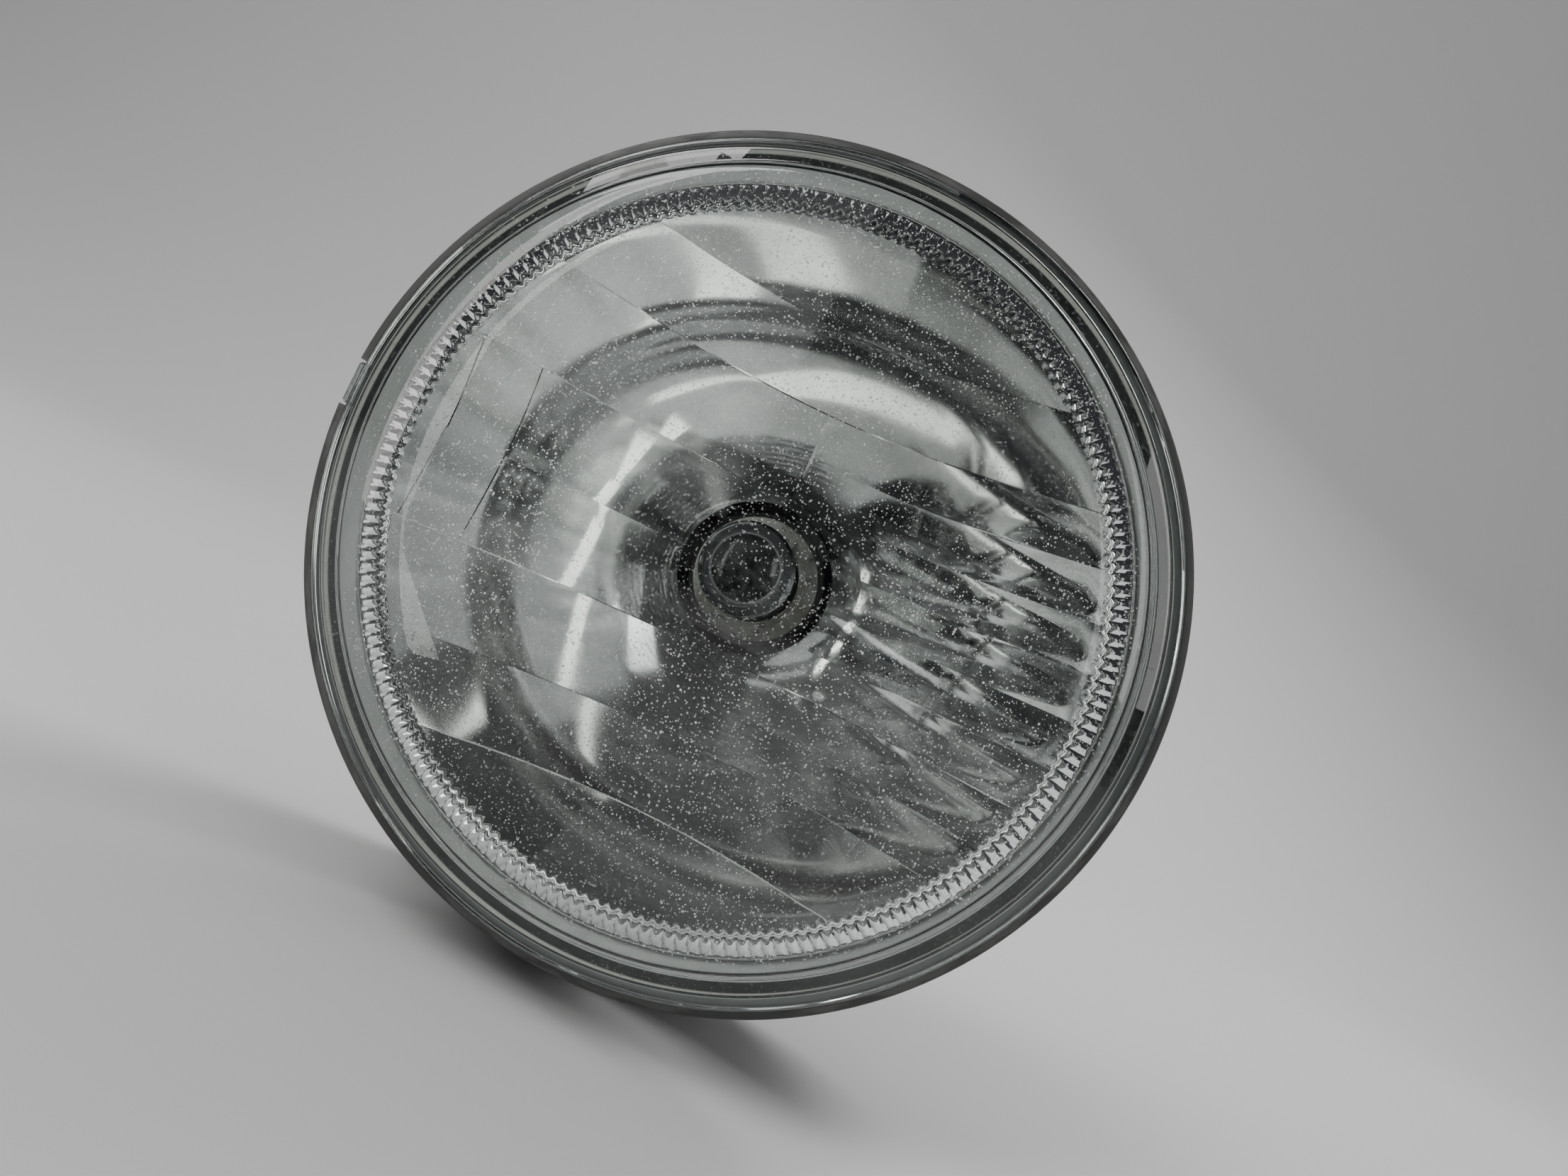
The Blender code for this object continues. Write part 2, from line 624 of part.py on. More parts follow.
def make_vent_cap(parent, finishes):
    """A rubber cap over the vent spigot, open below so that the lamp can breathe."""
    centre = round_about_axis(VENT_CIRCLE, 90, DATUM)
    bore = VENT_SPIGOT_RADIUS + GAP
    start = 3 * GAP
    roof = VENT_SPIGOT_HEIGHT + GAP
    profile = [
        (bore, start),
        (VENT_CAP_RADIUS, start),
        (VENT_CAP_RADIUS, start + 1.6 * MM),
        (VENT_CAP_RADIUS - 0.8 * MM, start + 2.2 * MM),
        (VENT_CAP_RADIUS - 1.0 * MM, VENT_CAP_HEIGHT - 0.6 * MM),
        (VENT_CAP_RADIUS - 1.8 * MM, VENT_CAP_HEIGHT),
        (0.0, VENT_CAP_HEIGHT),
        (0.0, roof),
        (bore, roof),
    ]
    return piece("vent_cap", turned(profile, SMALL, centre), parent, finishes["rubber"])


# The bulb


def make_bulb_glass(parent, finishes):
    """The quartz capsule: a round tip, a tube and a pinch with a passage for each lead."""
    tip = DATUM - CAPSULE_LENGTH
    pinch_end = DATUM - PINCH_START
    pinch_top = pinch_end - PINCH_LENGTH
    pinch_radius = CAPSULE_RADIUS - 0.5 * MM
    outer = arc((0.0, 0.0), 1.0, 90, 0, 4)
    rounding = 3.4 * MM
    profile = [(0.0, pinch_end), (pinch_radius, pinch_end), (pinch_radius, pinch_top + 1.0 * MM)]
    profile.append((CAPSULE_RADIUS, pinch_top))
    profile += [(CAPSULE_RADIUS * x, tip + rounding * (1 - y)) for x, y in reversed(outer)]
    glass = piece("bulb_glass", turned(profile, MEDIUM, lamp()), parent, finishes["glass"])
    inner = CAPSULE_RADIUS - CAPSULE_WALL
    inner_rounding = rounding - CAPSULE_WALL
    hollow = [(0.0, pinch_top - 1.0 * MM), (inner, pinch_top - 1.5 * MM)]
    hollow += [
        (inner * x, tip + CAPSULE_WALL + inner_rounding * (1 - y)) for x, y in reversed(outer)
    ]
    cut(glass, turned(hollow, MEDIUM, lamp()))
    for side in (-1, 1):
        start, end = pinch_top - 2.5 * MM, pinch_end + 1.0 * MM
        cut(glass, tube(LEAD_RADIUS + GAP, 0.0, start, end, 12, lamp(side * LEAD_OFFSET)))
    return glass


def make_filament(parent, finishes):
    """The coil's envelope on the optical axis, and the two leads that carry it."""
    middle = DATUM - LIGHT_CENTRE
    front = middle - FILAMENT_LENGTH / 2
    back = middle + FILAMENT_LENGTH / 2
    envelope = tube(FILAMENT_RADIUS, 0.0, front, back, 12, lamp())
    piece("bulb_filament", envelope, parent, finishes["tungsten"])
    foot = DATUM - PINCH_START
    ahead = front - GAP - LEAD_RADIUS
    behind = back + GAP + LEAD_RADIUS
    for name, side, reach in (("front", 1, ahead), ("rear", -1, behind)):
        points = [lamp(side * LEAD_OFFSET, depth) for depth in (foot, reach)]
        points.append(lamp(0.0, reach))
        wire(f"bulb_lead_{name}", points, LEAD_RADIUS, parent, finishes["tungsten"])


def make_ferrule(parent, finishes):
    """The sheet-metal cup that holds the capsule on the base."""
    bore = CAPSULE_RADIUS + GAP
    cup = bore + FERRULE_WALL
    start = DATUM - PINCH_START - 0.8 * PINCH_LENGTH
    end = DATUM - SPIGOT_LENGTH - GAP
    skirt = SPIGOT_RADIUS - 0.8 * MM
    profile = [
        (bore, start),
        (cup, start),
        (cup, end - FERRULE_WALL),
        (skirt, end - FERRULE_WALL),
        (skirt, end),
        (bore, end),
    ]
    return piece("bulb_ferrule", turned(profile, MEDIUM, lamp()), parent, finishes["steel"])


def make_bulb_base(parent, finishes):
    """The moulded base: a spigot with three bayonet lugs, a flange, a cap and a right-angle connector."""
    flange_start = DATUM + 2 * SEAL_SECTION + 2 * GAP
    flange_end = flange_start + BULB_FLANGE
    profile = [
        (0.0, DATUM - SPIGOT_LENGTH),
        (SPIGOT_RADIUS, DATUM - SPIGOT_LENGTH),
        (SPIGOT_RADIUS, flange_start),
        (BULB_FLANGE_RADIUS, flange_start),
        (BULB_FLANGE_RADIUS, flange_end),
        (BULB_CAP_RADIUS, flange_end),
        (BULB_CAP_RADIUS, CAP_END - 1.0 * MM),
        (BULB_CAP_RADIUS - 1.0 * MM, CAP_END),
        (0.0, CAP_END),
    ]
    base = piece("bulb_base", turned(profile, MEDIUM, lamp()), parent, finishes["grey_plastic"])
    lug_end = DATUM - WALL - GAP
    for angle, half_spread in LUGS:
        start = lug_end - LUG_THICKNESS
        join(base, sector(SPIGOT_RADIUS - 1.0 * MM, LUG_RADIUS, angle, half_spread, start, lug_end))
    shroud_y = LENS_Y + SHROUD_FRONT + SHROUD_HEIGHT / 2
    middle = (shroud_y, AXIS_HEIGHT)
    corner = 1.6 * MM
    shroud = rounded_rectangle(middle, SHROUD_HEIGHT, SHROUD_WIDTH, corner)
    join(base, prism(shroud, 0.6 * BULB_CAP_RADIUS, SHROUD_REACH, along="X"))
    latch_top = AXIS_HEIGHT + SHROUD_WIDTH / 2
    latch_rise = 1.5 * MM
    latch = [
        (SHROUD_REACH - 8.0 * MM, latch_top - 0.5 * MM),
        (SHROUD_REACH - 3.0 * MM, latch_top - 0.5 * MM),
        (SHROUD_REACH - 3.5 * MM, latch_top),
        (SHROUD_REACH - 6.5 * MM, latch_top + latch_rise),
        (SHROUD_REACH - 8.0 * MM, latch_top + latch_rise),
    ]
    join(base, prism(latch, shroud_y - 2.5 * MM, shroud_y + 2.5 * MM))
    grip = rounded_rectangle((0.0, AXIS_HEIGHT), 3.0 * MM, 18.0 * MM, 1.2 * MM, 2)
    join(base, prism(grip, LENS_Y + CAP_END - 1.0 * MM, LENS_Y + CAP_END + 3.0 * MM))
    socket_floor = SHROUD_REACH - SOCKET_DEPTH
    socket = rounded_rectangle(
        middle, SHROUD_HEIGHT - 2 * SHROUD_WALL, SHROUD_WIDTH - 2 * SHROUD_WALL, corner / 2
    )
    cut(base, prism(socket, socket_floor, SHROUD_REACH + 1.0 * MM, along="X"))
    for _, height in blade_heights():
        low = Vector((socket_floor - BLADE_ROOT - GAP, shroud_y, height)) - blade_half(GAP)
        high = Vector((socket_floor + 1.0 * MM, shroud_y, height)) + blade_half(GAP)
        cut(base, block(low, high))
    return base


def blade_heights():
    """Each terminal's name and the height of its middle."""
    half = BLADE_SPACING / 2
    return (("upper", AXIS_HEIGHT + half), ("lower", AXIS_HEIGHT - half))


def blade_half(extra=0.0):
    """Half a terminal's section, along Y and Z."""
    return Vector((0.0, BLADE_WIDTH / 2 + extra, BLADE_THICKNESS / 2 + extra))


def make_terminals(parent, finishes):
    """The two blades in the connector."""
    shroud_y = LENS_Y + SHROUD_FRONT + SHROUD_HEIGHT / 2
    socket_floor = SHROUD_REACH - SOCKET_DEPTH
    for name, height in blade_heights():
        low = Vector((socket_floor - BLADE_ROOT, shroud_y, height)) - blade_half()
        high = Vector((socket_floor + BLADE_LENGTH, shroud_y, height)) + blade_half()
        piece(f"terminal_{name}", block(low, high), parent, finishes["tinned_brass"])


def make_bulb_seal(parent, finishes):
    """The ring seal between the bulb's flange and the back plate."""
    middle = DATUM + GAP + SEAL_SECTION
    profile = arc((SEAL_RADIUS, middle), SEAL_SECTION, 0, 360, 6)[:-1]
    return piece("bulb_seal", turned(profile, MEDIUM, lamp()), parent, finishes["rubber"])


# The bracket and its pivots


def half_ring(profile, steps):
    """The profile of (radius, depth) points, swept round the lower half of a circle about the optical axis."""
    shape = bmesh.new()
    face = shape.faces.new([shape.verts.new((-radius, depth, 0.0)) for radius, depth in profile])
    bmesh.ops.spin(
        shape, geom=[face], axis=(0.0, -1.0, 0.0), angle=math.pi, steps=steps, use_merge=False
    )
    bmesh.ops.recalc_face_normals(shape, faces=shape.faces)
    shape.transform(Matrix.Translation(lamp()))
    return shape


def make_carrier(parent, finishes):
    """The bracket: a foot, a half-round strap up to the two pivots, and a tab for the adjuster."""
    front = PIVOT_DEPTH - STRAP_WIDTH / 2
    back = PIVOT_DEPTH + STRAP_WIDTH / 2
    flange_radius = STRAP_OUTER + STRAP_FLANGE
    channel = [
        (STRAP_RADIUS, front),
        (flange_radius, front),
        (flange_radius, front + STRAP_FLANGE_THICKNESS),
        (STRAP_OUTER, front + STRAP_FLANGE_THICKNESS),
        (STRAP_OUTER, back - STRAP_FLANGE_THICKNESS),
        (flange_radius, back - STRAP_FLANGE_THICKNESS),
        (flange_radius, back),
        (STRAP_RADIUS, back),
    ]
    carrier = piece("carrier_bracket", half_ring(channel, 32), parent, finishes["black_plastic"])
    for side in (-1, 1):
        start, end = sorted((side * (STRAP_RADIUS - 0.5 * MM), side * ARM_OUTER))
        join(carrier, tube(ARM_END_RADIUS, 0.0, start, end, MEDIUM, lamp(0, PIVOT_DEPTH, 0), "X"))
    foot = rounded_rectangle((0.0, 0.0), FOOT_WIDTH, FOOT_LENGTH, FOOT_CORNER)
    join(carrier, prism(foot, 0.0, FOOT_THICKNESS, along="Z"))
    tab_half = COLLAR_RADIUS + TAB_RIM
    tab = arc((0.0, SCREW_Z), tab_half, 0, 180, 12)
    tab += [(-tab_half, FOOT_THICKNESS / 2), (tab_half, FOOT_THICKNESS / 2)]
    join(carrier, prism(tab, TAB_Y, TAB_Y + TAB_THICKNESS - 0.02 * MM))
    gusset_front = TAB_Y - 0.7 * SCREW_Z
    gusset = [
        (TAB_Y + 1.0 * MM, FOOT_THICKNESS / 2),
        (TAB_Y + 1.0 * MM, 0.9 * SCREW_Z),
        (TAB_Y, 0.9 * SCREW_Z),
        (gusset_front, FOOT_THICKNESS / 2),
    ]
    for side in (-1, 1):
        outer = side * (tab_half - 0.1 * MM)
        start, end = sorted((outer, outer - side * GUSSET))
        join(carrier, prism(gusset, start, end, along="X"))
    pivot = lamp(0, PIVOT_DEPTH, 0)
    for side in (-1, 1):
        start, end = sorted((side * (STRAP_RADIUS - 2 * OVER), side * STRAP_RADIUS))
        cut(carrier, tube(BUSH_FLANGE_RADIUS + GAP, 0.0, start, end, MEDIUM, pivot, "X"))
        start, end = sorted((side * (STRAP_RADIUS - 2 * OVER), side * (ARM_OUTER + OVER)))
        cut(carrier, tube(BUSH_OUTER + GAP, 0.0, start, end, MEDIUM, pivot, "X"))
        bolt = Vector((side * BOLT_SPACING / 2, BOLT_BACK, 0.0))
        sleeve_hole = BOLT_RADIUS + SLEEVE_WALL + GAP
        cut(carrier, tube(sleeve_hole, 0.0, -1.0 * MM, FOOT_THICKNESS + 20 * MM, SMALL, bolt, "Z"))
    journal = Vector((0.0, TAB_Y, SCREW_Z))
    hole = THREAD_RADIUS + 2 * GAP
    cut(carrier, tube(hole, 0.0, -OVER, TAB_THICKNESS + OVER, MEDIUM, journal))
    return carrier


def make_foot_sleeves(parent, finishes):
    """Steel sleeves that take the bolts' clamping load through the plastic foot."""
    for name, side in (("left", -1), ("right", 1)):
        centre = Vector((side * BOLT_SPACING / 2, BOLT_BACK, 0.0))
        sleeve = tube(BOLT_RADIUS + SLEEVE_WALL, BOLT_RADIUS, 0.0, FOOT_THICKNESS, SMALL, centre, "Z")
        piece(f"foot_sleeve_{name}", sleeve, parent, finishes["steel"])


def mirrored(profile, side):
    """The profile of a piece on the left or right pivot, with distances measured outwards."""
    return [(radius, side * distance) for radius, distance in profile]


def make_pivots(bracket, lamp_parent, finishes):
    """A flanged bush in each arm, and a shoulder screw through it into the housing's boss."""
    flange_inner = STRAP_RADIUS - GAP - BUSH_FLANGE
    bush_end = ARM_OUTER + GAP
    bush = [
        (BUSH_INNER, flange_inner),
        (BUSH_FLANGE_RADIUS, flange_inner),
        (BUSH_FLANGE_RADIUS, STRAP_RADIUS - GAP),
        (BUSH_OUTER, STRAP_RADIUS - GAP),
        (BUSH_OUTER, bush_end),
        (BUSH_INNER, bush_end),
    ]
    shoulder_start = SIDE_BOSS_END + GAP
    head = bush_end + GAP
    tip = SIDE_BOSS_END - PIVOT_THREAD
    screw = [
        (0.0, tip),
        (PIVOT_SCREW_RADIUS - 0.5 * MM, tip),
        (PIVOT_SCREW_RADIUS, tip + 1.0 * MM),
        (PIVOT_SCREW_RADIUS, shoulder_start),
        (PIVOT_SHOULDER, shoulder_start),
        (PIVOT_SHOULDER, head),
        (PIVOT_HEAD_RADIUS, head),
        (PIVOT_HEAD_RADIUS, head + 0.6 * PIVOT_HEAD),
        (PIVOT_HEAD_RADIUS - 1.4 * MM, head + PIVOT_HEAD),
        (0.0, head + PIVOT_HEAD),
    ]
    centre = lamp(0, PIVOT_DEPTH, 0)
    for name, side in (("left", -1), ("right", 1)):
        shape = turned(mirrored(bush, side), MEDIUM, centre, "X")
        piece(f"pivot_bush_{name}", shape, bracket, finishes["nylon"])
        shape = turned(mirrored(screw, side), MEDIUM, centre, "X")
        made = piece(f"pivot_screw_{name}", shape, lamp_parent, finishes["steel"])
        start, end = sorted((side * (head + 0.3 * PIVOT_HEAD), side * (head + 2 * PIVOT_HEAD)))
        cut(made, tube(HEX_RADIUS, 0.0, start, end, 6, centre, "X"))


def make_adjuster(bracket, screw_parent, nut_parent, finishes):
    """The aiming screw, held endways in the bracket's tab, and the swivel nut that it drives."""
    journal = THREAD_RADIUS + GAP / 2
    tab_back = TAB_Y + TAB_THICKNESS
    collar_start = tab_back + GAP
    groove_back = TAB_Y - GAP
    groove_front = groove_back - RETAINER - 2 * GAP
    groove_radius = THREAD_RADIUS - 0.6 * MM
    start = PIVOT_Y - SCREW_AHEAD
    drive_start = collar_start + COLLAR
    profile = [
        (0.0, start),
        (THREAD_RADIUS - 0.6 * MM, start),
        (THREAD_RADIUS, start + 0.8 * MM),
        (THREAD_RADIUS, groove_front),
        (groove_radius, groove_front),
        (groove_radius, groove_back),
        (journal, groove_back),
        (journal, collar_start),
        (COLLAR_RADIUS, collar_start),
        (COLLAR_RADIUS, drive_start),
        (DRIVE_RADIUS, drive_start),
        (DRIVE_RADIUS, drive_start + DRIVE_LENGTH - 0.6 * MM),
        (DRIVE_RADIUS - 0.6 * MM, drive_start + DRIVE_LENGTH),
        (0.0, drive_start + DRIVE_LENGTH),
    ]
    centre = Vector((0.0, 0.0, SCREW_Z))
    screw = piece("adjuster_screw", turned(profile, MEDIUM, centre), screw_parent, finishes["steel"])
    slot_half = 0.7 * MM
    slot_floor = drive_start + DRIVE_LENGTH - 2.2 * MM
    for width, height in ((DRIVE_RADIUS * 0.75, slot_half), (slot_half, DRIVE_RADIUS * 0.75)):
        low = centre + Vector((-width, slot_floor, -height))
        high = centre + Vector((width, slot_floor + 5.0 * MM, height))
        cut(screw, block(low, high))
    ring_start = groove_front + GAP
    ring = tube(
        RETAINER_RADIUS, groove_radius + GAP, ring_start, ring_start + RETAINER, MEDIUM, centre
    )
    piece("adjuster_retainer", ring, screw_parent, finishes["steel"])

    low = Vector((-NUT_HALF, PIVOT_Y - NUT_HALF, SCREW_Z - NUT_HALF))
    high = Vector((NUT_HALF, PIVOT_Y + NUT_HALF, SCREW_Z + NUT_HALF))
    body = rounded_rectangle((PIVOT_Y, SCREW_Z), 2 * NUT_HALF, 2 * NUT_HALF, 1.4 * MM, 3)
    nut = piece("adjuster_nut", prism(body, low.x, high.x, along="X"), nut_parent, finishes["nylon"])
    pin_middle = Vector((0.0, PIVOT_Y, SCREW_Z))
    join(nut, tube(NUT_PIN_RADIUS, 0.0, -CHEEK_OUTER, CHEEK_OUTER, SMALL, pin_middle, "X"))
    cut(nut, tube(THREAD_RADIUS + GAP, 0.0, -2 * NUT_HALF, 2 * NUT_HALF, MEDIUM, pin_middle))


def clear_scene():
    for old in list(bpy.data.objects):
        bpy.data.objects.remove(old)


def main():
    clear_scene()
    finishes = make_materials()
    bracket = axis_empty("bracket_frame", Vector((0.0, 0.0, 0.0)))
    tilt = axis_empty("aim_tilt_axis", lamp(0, PIVOT_DEPTH, 0), bracket)
    twist = axis_empty("bulb_twist_axis", lamp(0, DATUM, 0), tilt)
    nut = axis_empty("adjuster_nut_axis", lamp(0, PIVOT_DEPTH, -NUT_DROP), tilt)
    spin = axis_empty("adjuster_spin_axis", Vector((0.0, TAB_Y, SCREW_Z)), bracket)

    make_lens(tilt, finishes)
    make_sealant(tilt, finishes)
    make_reflector(tilt, finishes)
    make_reflector_screws(tilt, finishes)
    make_housing(tilt, finishes)
    make_vent_cap(tilt, finishes)
    make_bulb_glass(twist, finishes)
    make_filament(twist, finishes)
    make_ferrule(twist, finishes)
    make_bulb_base(twist, finishes)
    make_terminals(twist, finishes)
    make_bulb_seal(twist, finishes)
    make_carrier(bracket, finishes)
    make_foot_sleeves(bracket, finishes)
    make_pivots(bracket, tilt, finishes)
    make_adjuster(bracket, spin, nut, finishes)


main()
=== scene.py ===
"""The looks of a round glass fog light on its carrier bracket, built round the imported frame.

Metres, +Z up, the lens towards -Y. A depth is measured along +Y from the back face of the lens flange.
A turned shape's profile is a closed list of (radius, distance along the axis) points.
"""

import json
import math

import bmesh
import bpy
import numpy as np
from mathutils import Matrix, Quaternion, Vector

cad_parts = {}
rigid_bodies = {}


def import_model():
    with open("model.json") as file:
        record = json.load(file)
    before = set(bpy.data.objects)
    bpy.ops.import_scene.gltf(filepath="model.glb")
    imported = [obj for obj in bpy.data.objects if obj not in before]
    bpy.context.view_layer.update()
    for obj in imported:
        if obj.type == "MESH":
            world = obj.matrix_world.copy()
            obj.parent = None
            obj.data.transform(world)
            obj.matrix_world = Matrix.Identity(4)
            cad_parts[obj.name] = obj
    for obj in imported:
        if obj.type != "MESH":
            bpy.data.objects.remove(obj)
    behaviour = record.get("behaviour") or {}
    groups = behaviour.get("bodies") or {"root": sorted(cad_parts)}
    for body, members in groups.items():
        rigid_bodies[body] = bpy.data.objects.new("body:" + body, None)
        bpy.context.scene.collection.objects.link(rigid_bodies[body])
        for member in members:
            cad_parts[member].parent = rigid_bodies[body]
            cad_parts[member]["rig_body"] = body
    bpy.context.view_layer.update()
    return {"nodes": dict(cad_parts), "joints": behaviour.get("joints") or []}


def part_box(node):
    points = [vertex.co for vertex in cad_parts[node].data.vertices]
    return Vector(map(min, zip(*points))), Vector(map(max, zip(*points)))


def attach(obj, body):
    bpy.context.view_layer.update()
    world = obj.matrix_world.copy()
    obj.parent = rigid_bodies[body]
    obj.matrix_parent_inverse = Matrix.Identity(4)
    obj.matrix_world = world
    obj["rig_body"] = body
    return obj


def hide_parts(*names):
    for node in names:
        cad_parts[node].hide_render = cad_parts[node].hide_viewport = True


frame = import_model()

MM = 0.001
GAP = 0.3 * MM

# Places read from the frame
JOINTS = {joint["name"]: joint for joint in frame["joints"]}
PIVOT = Vector(JOINTS["aim_tilt"]["pos_m"])
TWIST = Vector(JOINTS["bulb_twist"]["pos_m"])
NUT = Vector(JOINTS["nut_swivel"]["pos_m"])
LENS_LOW, LENS_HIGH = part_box("lens")
HOUSING_LOW, HOUSING_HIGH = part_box("rear_housing")
REFLECTOR_LOW, REFLECTOR_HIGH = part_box("reflector")
CAPSULE_LOW, CAPSULE_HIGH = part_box("bulb_glass")
AXIS_Z = PIVOT.z
FLANGE_Y = LENS_HIGH.y
LENS_RADIUS = LENS_HIGH.x
LENS_FRONT = LENS_LOW.y - FLANGE_Y
DATUM = TWIST.y - FLANGE_Y  # the outer face of the housing's back plate
PIVOT_DEPTH = PIVOT.y - FLANGE_Y

# Lens
FLANGE_THICKNESS = 3.0 * MM
GLASS = 3.2 * MM
WALL_FOOT = LENS_RADIUS - 1.9 * MM
STEP_RADIUS = WALL_FOOT - 0.9 * MM
STEP_FRONT = -7.2 * MM
SHOULDER_START = STEP_RADIUS - 2.3 * MM
SHOULDER_FRONT = -9.9 * MM
FACE_RADIUS = SHOULDER_START - 2.5 * MM
SKIRT_RADIUS = FACE_RADIUS + 0.7 * MM
FLUTES = 192
FLUTE_DEPTH = 0.3 * MM
TAB_HALF = 2.6 * MM  # half the locating tab's height

# Reflector
FOCAL_LENGTH = 17.0 * MM
BOWL_RADIUS = SKIRT_RADIUS - 1.9 * MM
LIP_RADIUS = REFLECTOR_HIGH.x
LIP_FRONT = REFLECTOR_LOW.y - FLANGE_Y
BULB_HOLE = 10.6 * MM
REFLECTOR_WALL = 1.6 * MM
VERTEX = BOWL_RADIUS**2 / (4 * FOCAL_LENGTH) + LIP_FRONT
STRIP = 11.7 * MM  # height of one strip of the middle band
OUTER_STRIP = 9.1 * MM
BLOCK_EDGES = (-39.5 * MM, -33.7 * MM)

BULB_TWIST = 45  # degrees from the bulb's way in to its seat

# Camera
VIEW_DIRECTION = Vector((-0.033, 1.0, 0.028)).normalized()
VIEW_ROLL = 25.5  # degrees
VIEW_DISTANCE = 139.0 * MM
VIEW_AIM = (4.4 * MM, -2.2 * MM)  # the view's middle from the lens, rightwards and upwards in the view


def lamp(x=0.0, depth=0.0, height=0.0):
    """A place given from the lens flange's back face and the optical axis."""
    return Vector((x, FLANGE_Y + depth, AXIS_Z + height))


def polar(radius, angle, depth=0.0):
    """A place at a radius and an angle, in degrees from +X towards +Z, about the optical axis."""
    turn = math.radians(angle)
    return lamp(radius * math.cos(turn), depth, radius * math.sin(turn))


def beside(centre, radius, angle):
    """The same about a line along Y through another centre."""
    turn = math.radians(angle)
    return centre + radius * Vector((math.cos(turn), 0.0, math.sin(turn)))


def depths(low, high):
    """Where a box starts and ends, as depths."""
    return low.y - FLANGE_Y, high.y - FLANGE_Y


# Camera, stage and light

TUBE_COLOUR = (1.0, 0.985, 0.96)
WINDOW_COLOUR = (0.97, 0.98, 1.0)
PALE_TONE = 0.60


def make_camera():
    data = bpy.data.cameras.new("camera")
    data.sensor_width = 36.0
    data.lens = 27.0
    data.clip_start = 0.01
    camera = bpy.data.objects.new("camera", data)
    turn = VIEW_DIRECTION.to_track_quat("-Z", "Y")
    turn = turn @ Quaternion((0.0, 0.0, 1.0), math.radians(VIEW_ROLL))
    right, up, back = turn.to_matrix().transposed()
    camera.rotation_mode = "QUATERNION"
    camera.rotation_quaternion = turn
    camera.location = lamp() + VIEW_AIM[0] * right + VIEW_AIM[1] * up + VIEW_DISTANCE * back
    bpy.context.scene.collection.objects.link(camera)
    bpy.context.scene.camera = camera


def area_light(name, place, target, width, height, power):
    """A rectangular light facing the target, its height upright."""
    data = bpy.data.lights.new(name, "AREA")
    data.shape = "RECTANGLE"
    data.size = width
    data.size_y = height
    data.energy = power
    made = bpy.data.objects.new(name, data)
    made.location = place
    made.rotation_mode = "QUATERNION"
    made.rotation_quaternion = (Vector(target) - Vector(place)).to_track_quat("-Z", "Y")
    bpy.context.scene.collection.objects.link(made)
    return made


def make_lights():
    """Soft boxes and an overhead sheet light the object and the floor, and the bowl shows only the fill."""
    middle = lamp()
    area_light("fill_softbox", (0.75, -0.75, 0.45), middle, 0.40, 0.60, 2.8)
    key = area_light("key_softbox", (-0.55, -0.50, 0.62), middle, 0.50, 0.50, 7.0)
    back = area_light("back_softbox", (0.30, 0.45, 0.70), middle, 0.40, 0.40, 4.5)
    sheet = area_light("overhead_sheet", (0.0, 0.0, 2.2), middle, 3.6, 3.6, 26.0)
    for light in (key, back, sheet):
        light.visible_transmission = False
    sheet.visible_glossy = False


def card(name, corners, brightness, colour=TUBE_COLOUR, glossy=True):
    """A flat card that only reflections show: a bright one is a tube or a window, a black one is a flag."""
    mesh = bpy.data.meshes.new(name)
    mesh.from_pydata([Vector(corner) for corner in corners], [], [(0, 1, 2, 3)])
    made = bpy.data.objects.new(name, mesh)
    bpy.context.scene.collection.objects.link(made)
    paint = Finish(f"{name}_paint", (0.0, 0.0, 0.0), 1.0)
    paint.set("Specular IOR Level", 0.0)
    paint.set("Emission Color", (*colour, 1.0))
    paint.set("Emission Strength", brightness)
    mesh.materials.append(paint.material)
    made.visible_camera = made.visible_diffuse = made.visible_shadow = False
    made.visible_glossy = glossy


def ahead_of_lamp(bearing, distance, height=0.0):
    """A place in front of the lamp, at a bearing in degrees from straight ahead towards +X."""
    turn = math.radians(bearing)
    return Vector((distance * math.sin(turn), FLANGE_Y - distance * math.cos(turn), height))


def bar_card(name, start, end, width, brightness, colour=TUBE_COLOUR, glossy=True):
    """A card along a line, turned to face the lamp."""
    facing = lamp() - (start + end) / 2
    aside = (end - start).cross(facing).normalized() * width / 2
    card(name, (start - aside, start + aside, end + aside, end - aside), brightness, colour, glossy)


